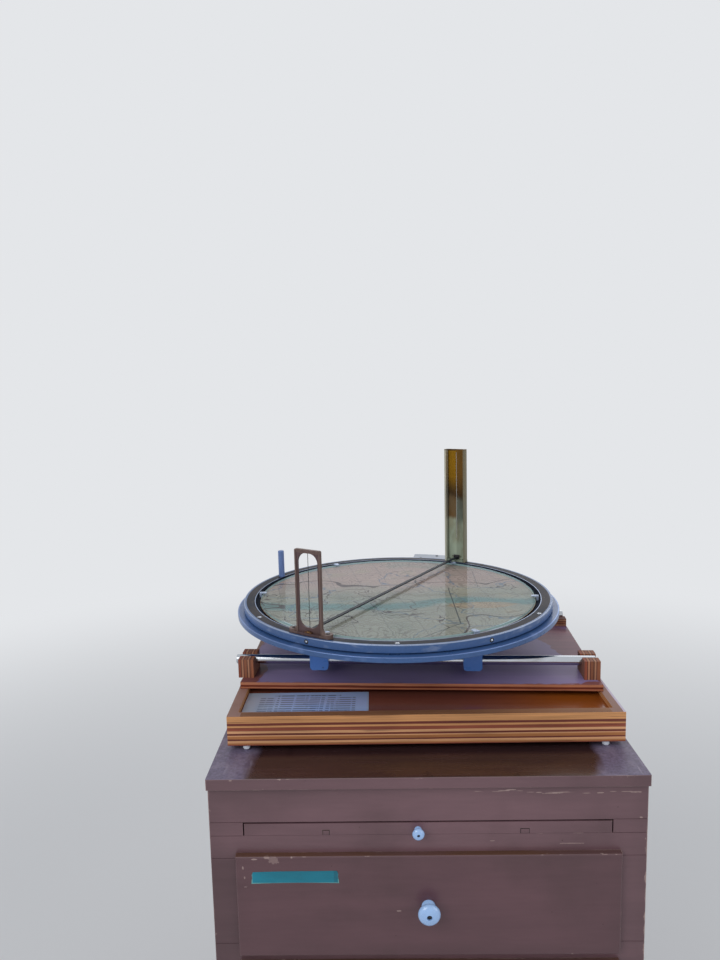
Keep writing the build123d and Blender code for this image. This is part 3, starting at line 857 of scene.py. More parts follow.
def add_label_tape(s):
    """Creased tape on the top drawer, darker at its right end and lifting there."""
    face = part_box("drawer_front_1")[0].y
    left, length, bottom, height = -0.2765, 0.1375, 0.9375, 0.0195
    clear()
    bpy.ops.mesh.primitive_grid_add(x_subdivisions=28, y_subdivisions=4, size=1, location=(0, 0, 0))
    tape = bpy.context.object
    tape.name = "label_tape"
    bpy.ops.object.mode_set(mode="EDIT")
    shape = bmesh.from_edit_mesh(tape.data)
    for vertex in shape.verts:
        u, v = vertex.co.x + 0.5, vertex.co.y + 0.5
        ragged = 0.0012 * math.sin(37 * v) * (1 if u > 0.5 else -1) if u in (0.0, 1.0) else 0.0
        x = left + length * u + ragged + 0.004 * v * (0.5 - u)
        z = bottom + height * v + 0.0045 * max(0.0, u - 0.72) * v + 0.0012 * math.sin(3 * u)
        lift = 0.00025 + 0.0005 * max(0.0, u - 0.95) * 10
        vertex.co = (x, face - lift, z)
    bmesh.update_edit_mesh(tape.data)
    bpy.ops.mesh.select_all(action="SELECT")
    bpy.ops.mesh.extrude_region_move(TRANSFORM_OT_translate={"value": (0, 0.00024, 0)})
    settle(tape)
    f = Finish("label_tape_film")
    streak = f.noise(40.0, 4.0, (0.3, 1, 1))
    x, _, z = f.split()
    outline = (x - left).least(left + length - x).least(z - bottom + 0.0003).below(0.0012, 0.0022)
    colour = f.coats(
        f.shade(s.tape, streak, 0.78, 1.2),
        (x.above(-0.148, -0.146) * 0.35, tint(12, 66, 80)),
        (outline * streak.above(0.4, 0.55) * 0.7, tint(128, 184, 176)),
    )
    film = f.skin(colour, 0.4 + (streak - 0.5) * 0.3, (streak, 0.2, 0.0004))
    hand_over(tape, film, "drawer_1", "cabinet_paint")


def add_back_nails():
    """Nail heads round the back panel."""
    nail = turned_piece("back_nail", [(0.0022, -0.0004), (0.0022, 0.0003), (0.0014, 0.0007)], 12)
    low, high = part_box("back_panel")
    spots = [(side * (high.x - 0.008), 0.04 + step * (high.z - 0.08) / 7) for side in (-1, 1) for step in range(8)]
    for step in range(1, 5):
        spots += [(low.x + step * (high.x - low.x) / 5, z) for z in (low.z + 0.03, high.z - 0.012)]
    places = [facing_matrix((x, high.y, z), (0, 1, 0)) for x, z in spots]
    steel = worn_metal("nail_metal", tint(110, 100, 96), tint(70, 48, 38), 300.0)
    scattered("back_nails", nail, places, steel, "cabinet", "chrome")


class AddLabel(bpy.types.Operator):
    """Tape on the top drawer, plugs in the pull-out's edge and nails round the back"""

    bl_idname = "fire_finder.label"
    bl_label = "Label tape, plugs and nails"

    def execute(self, context):
        s = context.scene.fire_finder_cabinet
        add_label_tape(s)
        low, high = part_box("pullout_shelf")
        paint = painted_wood("plug_paint", s.paint, s.undercoat, low, high, (0.12, 1, 1), 0.0)
        gap = raw_wood("joint_wood", tint(40, 24, 26), tint(26, 16, 18), (0.12, 1, 1))
        for name, x, wide in (("plug_left", -0.158, 0.0095), ("plug_right", 0.152, 0.0125)):
            for end, material, out, side, base, top, round_over in (
                ("", paint, 0.0009, 0.0, 0.0004, 0.0075, 0.0004),
                ("_joint", gap, 0.0002, 0.0009, 0.0002, 0.0085, 0.0001),
            ):
                half = wide / 2 + side
                corners = (x - half, low.y - out, low.z + base), (x + half, low.y + 0.001, low.z + top)
                hand_over(bar_piece(name + end, *corners, round_over), material, "shelf", "cabinet_paint")

        add_back_nails()
        return {"FINISHED"}


def dress_base_ply(s):
    """Layered edges of the base, its brown rim and the varnished recess with a pale line."""
    pale, dark = s.pale_ply, s.dark_ply
    low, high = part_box("base_lower")[0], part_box("base_upper")[1]
    f = Finish("base_plywood")
    x, _, z = f.split()
    looks_up = f.up().above(0.4, 0.7)
    waver = f.noise(5.0, 5.0, (1, 1, 8.0), 2.0)
    fibre = f.noise(120.0, 4.0, (0.06, 0.06, 3.0), 3.0)
    grain = f.noise(26.0, 5.0, (0.08, 1, 1), 9.0)
    red, tan, orange = tint(136, 70, 50), tint(202, 144, 93), tint(172, 112, 66)
    layers = [
        (1.7, red), (2.4, orange), (4.0, pale), (2.6, dark), (5.0, orange), (1.8, pale), (3.4, dark),
        (4.2, pale), (6.0, red), (3.4, tan), (4.2, dark), (11.9, tan),
    ]
    side = f.shade(ply_layers(f, z, low.z, high.z, layers, waver), fibre, 0.74, 1.34)
    streaks = f.noise(60.0, 4.0, (0.12, 0.12, 6.0), 8.0).above(0.6, 0.68)
    side = f.blend(streaks * 0.45, side, tint(74, 36, 26))
    side = f.shade(side, f.noise(4.0, 4.0, (1, 1, 0.3), 6.0), 0.86, 1.2)
    gap = f.cells(30.0, (0.35, 0.35, 5.0), 2.0).below(0.05, 0.09) * waver.above(0.5, 0.6)
    side = f.blend(gap * 0.75, side, tint(50, 26, 20))
    at_side = (abs(x - (low.x + high.x) / 2) - (high.x - low.x) / 2).above(-0.0225, -0.0215)
    rim = f.coats(
        tint(140, 94, 60),
        (grain.above(0.35, 0.65), tint(108, 68, 44)),
        (at_side * 0.75, f.shade(tint(150, 116, 108), grain, 0.8, 1.15)),
    )
    rim = f.shade(rim, f.noise(6.0, 5.0, seed=3.0), 0.72, 1.28)
    recess = f.shade(f.blend(x.above(0.06, 0.27), s.varnish, tint(142, 74, 24)), grain, 0.8, 1.15)
    in_recess = z.below(high.z - 0.004, high.z - 0.0005)
    line = (x + (f.noise(40.0, 3.0) - 0.5) * 0.0016).above(high.x - 0.0042, high.x - 0.0032)
    line = line * in_recess.below(0.1, 0.2) * f.up().above(0.1, 0.3)
    colour = f.coats(side, (looks_up, f.blend(in_recess, rim, recess)), (line * 0.9, tint(206, 196, 216)))
    rough = 0.62 - looks_up * in_recess * 0.4 + (fibre - 0.5) * 0.2
    plywood = f.skin(colour, rough, (fibre * 0.6 + grain * 0.4 - gap, 0.35, 0.0006))
    dress(plywood, "base_lower", "base_upper")


def dress_board(s):
    """Glossy paint on the turned board, worn through at its rim and corners."""
    low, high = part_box("swivel_board")
    f = Finish("board_finish", Specular_IOR_Level=0.08)
    here = f.turned(s.board_turn, middle("swivel_board"))
    x, y, z = f.split(here)
    looks_up = f.up().above(0.4, 0.7)
    waver = f.noise(6.0, 4.0, (1, 1, 6.0), 1.0)
    fibre = f.noise(110.0, 4.0, (0.06, 0.06, 3.0), 3.0)
    cloud = f.noise(3.5, 5.0, seed=4.0)
    brush = f.noise(50.0, 4.0, (0.1, 1, 1), 5.0, here)
    half = (high.z - low.z) / 2
    layers = [
        (0.8, s.dark_ply), (2.8, tint(170, 106, 76)), (2.9, tint(106, 50, 38)), (1.2, tint(140, 80, 58)),
        (4.3, tint(182, 120, 90)),
    ]
    side = f.shade(ply_layers(f, z, -half, half, layers, waver), fibre, 0.7, 1.32)
    side = f.shade(side, f.noise(9.0, 4.0, (1, 1, 0.3), 6.0), 0.8, 1.26)
    torn = f.noise(75.0, 4.0, (0.14, 0.14, 4.0), 8.0).above(0.6, 0.67)
    side = f.blend(torn * 0.5, side, tint(58, 26, 20))
    half_x, half_y = 0.3209, 0.19685
    from_rim = (half_x - abs(x)).least(half_y - abs(y))
    nick = f.noise(60.0, 4.0, seed=7.0)
    bare = (from_rim + (nick - 0.5) * 0.02).below(0.001, 0.006) * f.noise(8.0, 2.0, seed=2.0).above(0.45, 0.6)
    for spot_x, spot_y, wide, deep, ragged, scale, much in (
        (-0.312, -0.105, 0.03, 0.05, 0.6, 26.0, 1.0),
        (0.302, -0.175, 0.022, 0.022, 0.6, 30.0, 1.0),
        (0.315, 0.04, 0.05, 0.11, 0.9, 14.0, 0.8),
        (0.25, 0.16, 0.09, 0.05, 0.9, 16.0, 0.6),
    ):
        bare = bare.most(f.spot((spot_x, spot_y, high.z), (wide, deep, 0.02), ragged, scale) * much)
    spots = f.cells(16.0, seed=3.0).below(0.06, 0.1) * f.noise(30.0, 3.0).above(0.45, 0.55)
    top = f.coats(
        f.shade(f.shade(s.board_paint, cloud, 0.8, 1.2), brush, 0.92, 1.08),
        (bare * 0.85, f.shade(tint(124, 70, 50), brush, 0.7, 1.3)),
        (spots * 0.75, tint(52, 34, 30)),
    )
    rough = 0.6 - looks_up * 0.26 + (cloud - 0.5) * 0.16
    relief = brush * 0.5 + cloud * 0.4 - spots * 0.5, 0.22, 0.0006
    dress(f.skin(f.blend(looks_up, side, top), rough, relief), "swivel_board")


def dress_rod_blocks(s):
    """Layers of the rod blocks, upright in the front ones and lying in the rear ones."""
    layers = [
        (5.0, tint(150, 78, 54)), (1.2, tint(76, 34, 28)), (3.4, tint(178, 124, 92)), (1.6, tint(92, 42, 34)),
        (4.8, tint(152, 92, 62)), (1.4, tint(70, 30, 26)), (3.2, tint(182, 128, 96)), (1.6, tint(90, 42, 32)),
        (5.8, tint(150, 90, 60)),
    ]
    half_thick = 0.014
    for name in four("rod_block"):
        low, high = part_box(name)
        half = (high.z - low.z) / 2
        f = Finish(f"{name}_plywood")
        x, _, z = f.split(f.turned(s.board_turn, middle(name)))
        waver = f.noise(9.0, 4.0, (6.0, 1, 1), 2.0)
        fibre = f.noise(90.0, 4.0, (3.0, 0.1, 0.1), 3.0)
        if "rear" in name:
            colour = f.shade(ply_layers(f, z, -half, half, layers[2:8], waver), fibre, 0.66, 1.22)
        else:
            colour = f.shade(ply_layers(f, x, -half_thick, half_thick, layers, waver), fibre, 0.66, 1.22)
            veneer = f.shade(tint(136, 88, 66), f.noise(30.0, 5.0, (1, 0.1, 1), 4.0), 0.65, 1.25)
            colour = f.blend(abs(f.split(f.facing)[0]).above(0.6, 0.9), colour, veneer)
        colour = f.shade(colour, f.noise(14.0, 5.0, seed=8.0), 0.74, 1.14)
        dress(f.skin(colour, 0.66 + (fibre - 0.5) * 0.2, (fibre, 0.4, 0.0008)), name)


def dress_letter_sheet(s):
    """Plain grey lines on the laminated letter sheet, which is greyer yellow on its left end as a painted reflection.
    """
    low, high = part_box("instruction_sheet")
    f = Finish("letter_sheet")
    x, y, _ = f.split()
    fog = f.noise(5.0, 4.0)
    words = f.noise(300.0, 2.0, (0.6, 0.02, 1), 3.0).above(0.4, 0.5)
    rule = (y - low.y - 0.002).stripe(0.0085, 0.0034)
    inside = (x - low.x).above(0.024, 0.026) * (high.x - x).above(0.022, 0.024) * (high.y - y).above(0.02, 0.022)
    heading = abs(y - high.y + 0.0135).below(0.0016, 0.0024) * abs(x - (low.x + high.x) / 2).below(0.058, 0.06)
    hem = (x - low.x).least(high.x - x).least(y - low.y).below(0.003, 0.0035)
    # greyer yellow on the left end: a painted reflection
    colour = f.coats(
        f.shade(f.blend(x.below(low.x, low.x + 0.09) * 0.7, s.paper, tint(156, 158, 150)), fog, 0.88, 1.1),
        (rule * words * inside * 0.75, tint(70, 76, 98)),
        (heading * words.most(0.35) * 0.8, tint(58, 60, 78)),
        (hem * 0.5, tint(176, 188, 206)),
    )
    dress(f.skin(colour, 0.28 + (fog - 0.5) * 0.2, Coat_Weight=0.3 + fog * 0.3), "instruction_sheet")


class DressBase(bpy.types.Operator):
    """Plywood base, turned board, rod blocks, feet and letter sheet"""

    bl_idname = "fire_finder.base"
    bl_label = "Plywood base"

    def execute(self, context):
        s = context.scene.fire_finder_base
        dress_base_ply(s)
        dress_board(s)
        dress_rod_blocks(s)
        f = Finish("bumper_rubber")
        darkening = f.noise(120.0, 4.0)
        dress(f.skin(f.shade(s.bumper, darkening, 0.84, 1.08), 0.42 + (darkening - 0.5) * 0.3), *four("foot"))

        dress_letter_sheet(s)
        return {"FINISHED"}


class DressRods(bpy.types.Operator):
    """Chrome on the two rods"""

    bl_idname = "fire_finder.rods"
    bl_label = "Rods"

    def execute(self, context):
        f = Finish("rod_chrome", Metallic=1.0)
        drawn = f.noise(400.0, 3.0, (0.03, 1, 1))
        haze = f.noise(12.0, 5.0, (0.4, 1, 1), 3.0)
        colour = f.blend(haze.above(0.62, 0.7) * 0.5, f.shade(tint(196, 200, 206), haze, 0.8, 1.1), tint(96, 78, 62))
        rough = 0.12 + (haze - 0.5) * 0.2 + drawn * 0.05
        dress(f.skin(colour, rough, (drawn, 0.06, 0.0002)), "front_rod", "rear_rod")
        return {"FINISHED"}


def cut_map(centre, height):
    """The round printed sheet, torn along its near edge."""
    radius, tear = 0.2736, 0.006
    clear()
    place = centre.x, centre.y, height
    bpy.ops.mesh.primitive_circle_add(vertices=180, radius=radius, fill_type="NGON", location=place)
    paper = bpy.context.object
    paper.name = "printed_map"
    bpy.ops.object.transform_apply(location=True, rotation=True, scale=True)
    bpy.ops.object.mode_set(mode="EDIT")
    shape = bmesh.from_edit_mesh(paper.data)
    for vertex in shape.verts:
        away = vertex.co - Vector((centre.x, centre.y, vertex.co.z))
        angle = math.degrees(math.atan2(away.y, away.x))
        torn = max(0.0, 1 - abs(angle + 88) / 34)
        waves = sum(size * math.sin(angle * rate) for size, rate in ((0.5, 1.9), (0.3, 5.3), (0.2, 11.0)))
        vertex.co = vertex.co - away.normalized() * tear * torn**0.5 * (1 + waves)
    bmesh.update_edit_mesh(paper.data)
    bpy.ops.mesh.select_all(action="SELECT")
    bpy.ops.mesh.extrude_region_move(TRANSFORM_OT_translate={"value": (0, 0, 0.0003)})
    settle(paper)
    return paper


def map_print(s, centre):
    """Faded relief map: contours, streams, roads, a tilted grid and drawn lines, with a pinker far half and a
    blue-green band across it that are painted reflections of the room.
    """
    f = Finish("map_print")
    radius, _ = f.round_about(centre)
    x, y, _ = f.away_from(centre)
    fade = f.noise(2.5, 3.0, seed=4.0)
    ground = f.noise(6.5, 6.0, seed=3.1)
    ridge = f.noise(13.0, 7.0, seed=5.7)
    land = ground * 0.6 + ridge * 0.4
    relief = f.noise(5.5, 1.5, seed=3.1) * 0.65 + f.noise(15.0, 1.5, seed=5.7) * 0.35
    # the pinker far half and the blue-green band across the map are painted reflections of the room
    pink_reflection = (y + (ground - 0.5) * 0.2).above(-0.02, 0.1)
    green_band_reflection = abs(y + 0.062 + (ground - 0.5) * 0.12).below(0.008, 0.03)
    bluff = abs(y + 0.005 + (ridge - 0.5) * 0.1).below(0.004, 0.016)
    warm = f.spot((0.16 + centre.x, -0.08 + centre.y, centre.z - 0.008), (0.07, 0.02, 0.05), 0.5, 20.0)
    crazed = f.cells(24.0, (1, 1, 0.1), 3.0, "DISTANCE_TO_EDGE").below(0.012, 0.03) * y.below(-0.1, 0.0)
    streams = abs(f.noise(5.0, 4.0, seed=11.0) - 0.5).below(0.0025, 0.006)
    road = abs(f.noise(3.2, 3.0, seed=17.0) - 0.48).below(0.0026, 0.005)
    track = abs(f.noise(5.2, 4.0, seed=23.0) - 0.52).below(0.0020, 0.0045)
    tilt = math.radians(11)
    across = x * math.cos(tilt) + y * math.sin(tilt)
    along = y * math.cos(tilt) - x * math.sin(tilt)
    grid = across.stripe(0.058, 0.0011).most(along.stripe(0.058, 0.0011))
    upright = abs(x - 0.1076).below(0.0007, 0.0016) * y.above(-0.187, -0.186) * y.below(0.039, 0.040)
    slanting = abs(x * 0.695 - y * 0.719 - 0.2095).below(0.0006, 0.0014) * y.below(-0.187, -0.186)
    faint = abs(x - y * 0.037 - 0.1682).below(0.0005, 0.0012) * abs(y - 0.11).below(0.064, 0.066)
    margin = radius.above(0.262, 0.2632) * y.below(-0.17, -0.15)
    colour = f.coats(
        s.map_paper,
        (pink_reflection * 0.8, tint(160, 128, 119)),
        (land.above(0.52, 0.64) * 0.4, tint(106, 113, 100)),
        (land.below(0.38, 0.46) * 0.5, tint(152, 133, 110)),
        (green_band_reflection * 0.75, tint(78, 110, 108)),
        (bluff * 0.35, tint(110, 100, 84)),
        (warm * 0.45, tint(164, 122, 84)),
        (relief.stripe(0.018, 0.0052) * 0.34, tint(72, 54, 46)),
        (crazed * ridge.above(0.4, 0.6) * 0.55, tint(84, 66, 58)),
        (streams * 0.6, tint(62, 84, 106)),
        (road.most(track) * 0.85, tint(58, 34, 30)),
        (grid * 0.5, tint(76, 70, 72)),
        (upright.most(slanting * 0.8) * 0.85, tint(48, 46, 52)),
        (faint * 0.6, tint(70, 60, 62)),
        (margin * 0.85, tint(168, 178, 178)),
    )
    return f.skin(f.shade(colour, fade, 1.42, 1.82), 0.72 + (ridge - 0.5) * 0.2, (fade, 0.1, 0.002))


def glass_finish(glass_top):
    """Clear glass whose upper face mirrors a little, more at a glancing angle, with a milky rim."""
    f = Finish("map_glass_clear")
    _, _, z = f.split()
    rim = abs(f.up()).below(0.3, 0.6)
    over = z.above(glass_top - 0.0006, glass_top - 0.0002) * (1 - rim)
    dust = f.noise(30.0, 5.0)
    glancing = Wire(f, f.node("ShaderNodeLayerWeight", {}, {"Blend": 0.5}).outputs["Facing"])
    mirror = glancing.maths("POWER", glancing, 5.0) * 0.17 + 0.014 + dust.above(0.5, 0.8) * 0.016
    colour = f.blend(rim, f.shade(tint(222, 236, 254), dust, 0.94, 1.03), tint(170, 200, 200))
    f.skin(colour, 0.04 + rim * 0.36 + dust * 0.02, Metallic=over)
    through = f.node("ShaderNodeBsdfTransparent", {}, {"Color": tint(247, 251, 252)})
    f.show((over * mirror).most(rim * 0.75), through, f.shader, f.tree.nodes["Material Output"])
    return f.material


def glass_clip(hub_top, glass_top):
    """A bent clip with its screw, at its radius on the +X side of the axis."""
    inner, outer, reach, thick = 0.2746, 0.2792, 0.009, 0.0020
    clip = bar_piece("glass_clip", (inner, -0.0050, hub_top), (outer, 0.0050, glass_top + thick))
    clear()
    clip.select_set(True)
    bpy.context.view_layer.objects.active = clip
    bpy.ops.object.mode_set(mode="EDIT")
    level = glass_top + 0.0001
    bpy.ops.mesh.select_all(action="SELECT")
    bpy.ops.mesh.bisect(plane_co=(0, 0, level), plane_no=(0, 0, 1))
    pick(lambda spot, facing: facing.x < -0.9 and spot.z > level)
    bpy.ops.mesh.extrude_region_move(TRANSFORM_OT_translate={"value": (-reach, 0, 0)})
    bpy.ops.transform.resize(value=(1, 0.8, 1), center_override=(inner - reach, 0, level))
    bpy.ops.mesh.select_all(action="SELECT")
    bpy.ops.mesh.bevel(offset=0.0002, segments=2, affect="EDGES")
    settle(clip)
    screw = slotted_screw("clip_screw", 0.0018, 0.0009, 0.0005)
    screw.data.transform(Matrix.Translation(((inner + outer) / 2, 0, glass_top + thick)))
    return joined("glass_clip", [clip, screw])


class DressCasting(bpy.types.Operator):
    """Casting, map board, printed map, glass and its clips"""

    bl_idname = "fire_finder.casting"
    bl_label = "Casting, map and glass"

    def execute(self, context):
        s = context.scene.fire_finder_instrument
        centre = middle("azimuth_ring")
        hub_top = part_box("base_casting")[1].z
        board_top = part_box("map_board")[1].z
        glass_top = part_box("map_glass")[1].z
        # below 1.25 m the casting is painted lighter and more blue as painted sky light
        rim_top, skylight_below = 1.2754, 1.25
        # the hub top between glass and ring is painted near black as painted shade of that gap
        gap = 0.272, 0.286, hub_top - 0.003, hub_top + 0.001
        bright, rims = tint(128, 152, 200), ((0.3166, 0.0018),)
        casting = enamel("casting_enamel", s.ring_paint, bright, 0.3, centre, rim_top, rims, gap, skylight_below)
        dress(casting, "base_casting")
        # the map board's sides are painted near black: painted shade in the gap round the glass
        board = raw_wood("map_board_wood", tint(150, 112, 76), tint(112, 78, 52), (0.12, 1, 1), tint(12, 12, 15))
        dress(board, "map_board")

        paper = cut_map(centre, board_top + 0.00005)
        hand_over(paper, map_print(s, centre), "map_carriage", "map_paper", "map_sheet")

        dress(glass_finish(glass_top), "map_glass")

        axis = Matrix.Translation((centre.x, centre.y, 0))
        angles = -62.5, -9.0, 59.5, 119.5, 178.0, -118.0
        places = [axis @ Matrix.Rotation(math.radians(angle), 4, "Z") for angle in angles]
        metal = worn_metal("clip_metal", tint(178, 194, 220), tint(138, 150, 170), 200.0, 0.35, 0.3)
        scattered("glass_clips", glass_clip(hub_top, glass_top), places, metal, "map_carriage", "chrome")
        return {"FINISHED"}


def dress_scale(s, centre):
    """Dark engraved band with a mark for each degree, longer at fives and tens."""
    f = Finish("scale_bronze", Specular_IOR_Level=0.06)
    radius, angle = f.round_about(centre)
    cloud = f.noise(9.0, 6.0, seed=2.0)
    fine = f.noise(220.0, 3.0)
    single, fives, tens = (
        angle.stripe(math.radians(step), width) * radius.above(inner, inner + 0.0003)
        for step, width, inner in ((1, 0.0016, 0.2962), (5, 0.0018, 0.2942), (10, 0.0022, 0.2922))
    )
    marks = single.most(fives).most(tens) * radius.below(0.3, 0.3003)
    inside = abs(radius - 0.2925).below(0.0073, 0.0079)
    colour = f.coats(
        f.shade(f.blend(cloud.above(0.4, 0.66), s.scale, tint(42, 47, 58)), fine, 0.88, 1.12),
        (marks * 0.75, tint(46, 40, 36)),
        ((1 - inside) * 0.5, tint(60, 54, 48)),
    )
    relief = fine * 0.4 - marks, 0.25, 0.0004
    dress(f.skin(colour, 0.48 + (cloud - 0.5) * 0.3, relief, Metallic=0.1 - marks * 0.05), "scale_band")


def add_scale_numbers(s, height):
    """Raised numbers at every ten degrees, clockwise, with their tops outwards."""
    radius = 0.2882
    numbers = []
    for value in range(0, 360, 10):
        clear()
        bpy.ops.object.text_add(location=(0, 0, 0))
        text = bpy.context.object.data
        text.body = str(value)
        text.size = s.number_height * 1.35
        text.align_x = text.align_y = "CENTER"
        text.resolution_u = 2
        text.extrude = 0.00006
        bpy.ops.object.convert(target="MESH")
        number = bpy.context.object
        number.data.transform(on_ring(90 - value, radius, height, math.radians(-value)))
        numbers.append(number)
    ink = worn_metal("number_metal", tint(52, 46, 42), tint(36, 32, 30), 300.0, 0.5, 0.3)
    hand_over(joined("scale_numbers", numbers), ink, "sight_ring", "bronze")


class DressRing(bpy.types.Operator):
    """Turning ring, its scale band with degree marks, and its screws"""

    bl_idname = "fire_finder.ring"
    bl_label = "Ring and scale"

    def execute(self, context):
        s = context.scene.fire_finder_instrument
        centre = middle("azimuth_ring")
        low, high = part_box("azimuth_ring")
        side_radius = 0.3053
        rims = (0.3046, 0.0013), (0.2838, 0.0007)
        # the ring's inner wall is painted near black as painted shade
        gap = 0.1, 0.2837, low.z - 0.001, high.z - 0.0004
        paint = enamel("ring_enamel", s.ring_paint, tint(158, 172, 196), 0.3, centre, high.z, rims, gap)
        dress(paint, "azimuth_ring")

        dress_scale(s, centre)
        silver = worn_metal("screw_metal", tint(190, 198, 210), tint(120, 116, 112), 260.0, 0.25)
        dark = worn_metal("dark_screw_metal", tint(70, 66, 64), tint(38, 34, 32), 260.0, 0.4)
        screw = slotted_screw("ring_screw", 0.0042, 0.0012, 0.001)
        for name, metal, turns, last in (
            ("ring_screws", silver, ((-150.0, 0.4), (-91.5, 1.9), (-31.0, 1.1)), False),
            ("ring_dark_screws", dark, ((122.0, 0.4), (114.0, 1.2), (47.0, 0.2)), True),
        ):
            places = [on_ring(angle, s.ring_screw_radius, high.z, spin) for angle, spin in turns]
            scattered(name, screw, places, metal, "sight_ring", "chrome", last)

        screw = slotted_screw("side_screw", 0.0024, 0.0013, 0.0007)
        sink = turned_piece("side_sink", [(0.0042, -0.0006), (0.0042, 0.0001), (0.0038, 0.0003)], 24)
        places = []
        for angle in (-121.5, -60.6, 0.0, 59.5, 119.0, 179.0):
            out = ring_place(angle, 1.0, 0) - ring_place(angle, 0.0, 0)
            spot = ring_place(angle, side_radius, (low.z + high.z) / 2 - 0.0005)
            places.append(facing_matrix(spot, out, 0.6))
        scattered("ring_side_screws", screw, places, silver, "sight_ring", "chrome")
        scattered("ring_side_sinks", sink, places, dark, "sight_ring", "chrome")

        add_scale_numbers(s, high.z)
        return {"FINISHED"}


def front_sight_finish(s, turn):
    """Brown bronze, paler on the raised rim of the frame."""
    f = Finish("front_sight_bronze", Metallic=0.15, Specular_IOR_Level=0.3)
    _, across, z = f.split(f.turned(turn, middle("sight_hair")))
    patch = f.noise(34.0, 5.0, seed=1.0)
    streak = f.noise(240.0, 3.0, (1, 1, 0.2), 3.0)
    raised = abs(across).above(0.0230, 0.0236).most(z.above(0.0640, 0.0646))
    colour = f.coats(
        s.bronze, (patch.above(0.42, 0.64) * 0.6, tint(80, 60, 56)), (raised * 0.5, tint(124, 104, 94))
    )
    relief = streak * 0.4 + patch, 0.2, 0.0003
    return f.skin(f.shade(colour, streak, 0.84, 1.14), 0.46 + (patch - 0.5) * 0.35, relief)


def corner_gussets():
    """Two hollowed gussets, one in each foot corner of the front sight's frame."""
    corner = bar_piece("sight_gusset", (0.0255, -0.0026, 0.0035), (0.0345, 0.0026, 0.0155))
    hollow = turned_piece("hollow", [(0.0085, -0.01), (0.0085, 0.01)], 64)
    hollow.data.transform(Matrix.Translation((0.0352, 0, 0.0155)) @ Matrix.Rotation(math.pi / 2, 4, "X"))
    gusset = cut(corner, hollow)
    return joined("front_sight_gussets", [gusset, copied(gusset, Matrix.Rotation(math.pi, 4, "Z"))])


def dress_rear_sight(s):
    """Green patina below and brass above, lighter on the left half and darker on the right, with painted shade in the
    channel's corners, on the right half just below the brass and at the foot's arch.
    """
    f = Finish("rear_sight_brass", Metallic=0.1, Specular_IOR_Level=0.16)
    _, _, z = f.split()
    foot = middle("rear_sight")
    _, across, _ = f.split(f.turned(s.rear_bearing, foot))
    blot = f.noise(30.0, 5.0, (1, 1, 0.4), 2.0)
    wide = f.noise(12.0, 4.0, (1, 1, 0.5), 5.0)
    streak = f.noise(110.0, 4.0, (1, 1, 0.08), 7.0)
    left = across.above(-0.0015, 0.0015)
    level = z + (wide - 0.5) * 0.03
    # painted shadow on the right half, just below the brass
    shaded = (1 - left) * (z + (wide - 0.5) * 0.04).above(1.372, 1.400)
    green = f.coats(
        s.patina,
        (blot.above(0.42, 0.6), tint(140, 136, 108)),
        (wide.above(0.5, 0.66) * 0.5, tint(92, 98, 84)),
        (left * level.below(1.388, 1.4) * 0.2, tint(196, 212, 194)),
        (left * level.above(1.388, 1.4) * 0.9, f.shade(tint(108, 74, 32), streak, 0.8, 1.2)),
        ((1 - left) * 0.3, tint(96, 100, 92)),
        (shaded * 0.75, f.shade(tint(78, 82, 74), streak, 0.7, 1.3)),
    )
    gold = level.above(1.448, 1.502) * z.below(1.5515, 1.5535)
    bright_half = f.blend(gold, tint(70, 50, 24), s.brass)
    dark_half = f.blend(level.below(1.442, 1.505), tint(112, 79, 28), tint(63, 43, 16))
    amber = f.shade(f.blend(left, dark_half, bright_half), streak, 0.82, 1.2)
    # dark lines along the channel's inner corners: painted shade
    corner_shade = abs(abs(across) - 0.0200).below(0.0006, 0.0013)
    flange = f.shade(f.blend(left, tint(128, 122, 101), tint(206, 204, 186)), streak, 0.8, 1.2)
    # dark patch at the foot: painted shade in the gap under its arch
    arch_shade = f.spot((foot.x, foot.y, 1.3015), (0.013, 0.013, 0.0034), 0.3)
    colour = f.coats(
        green,
        ((z + (blot - 0.5) * 0.03).above(1.432, 1.452), amber),
        (corner_shade * (left * 0.35 + 0.45), tint(36, 32, 24)),
        (abs(across).above(0.0208, 0.0214) * 0.85, flange),
        (arch_shade * 0.6, tint(66, 60, 44)),
        (z.above(1.5535, 1.555) * 0.7, tint(96, 72, 42)),
    )
    relief = streak * 0.5 + blot, 0.22, 0.0004
    dress(f.skin(f.shade(colour, blot, 0.86, 1.12), 0.5 + (blot - 0.5) * 0.4, relief), "rear_sight")


def dress_tape():
    """Dark steel tape with a mark at each centimetre."""
    f = Finish("tape_steel", Metallic=0.1, Specular_IOR_Level=0.1)
    run = middle("rear_sight") - middle("sight_hair")
    along, _, _ = f.split(f.turned(math.atan2(run.y, run.x), middle("sight_tape")))
    dirt = f.noise(40.0, 4.0)
    notch = along.stripe(0.01, 0.0006) * 0.5
    colour = f.blend(notch, f.shade(tint(26, 32, 42), dirt, 0.74, 1.25), tint(118, 128, 138))
    dress(f.skin(colour, 0.45 + (dirt - 0.5) * 0.3), "sight_tape")


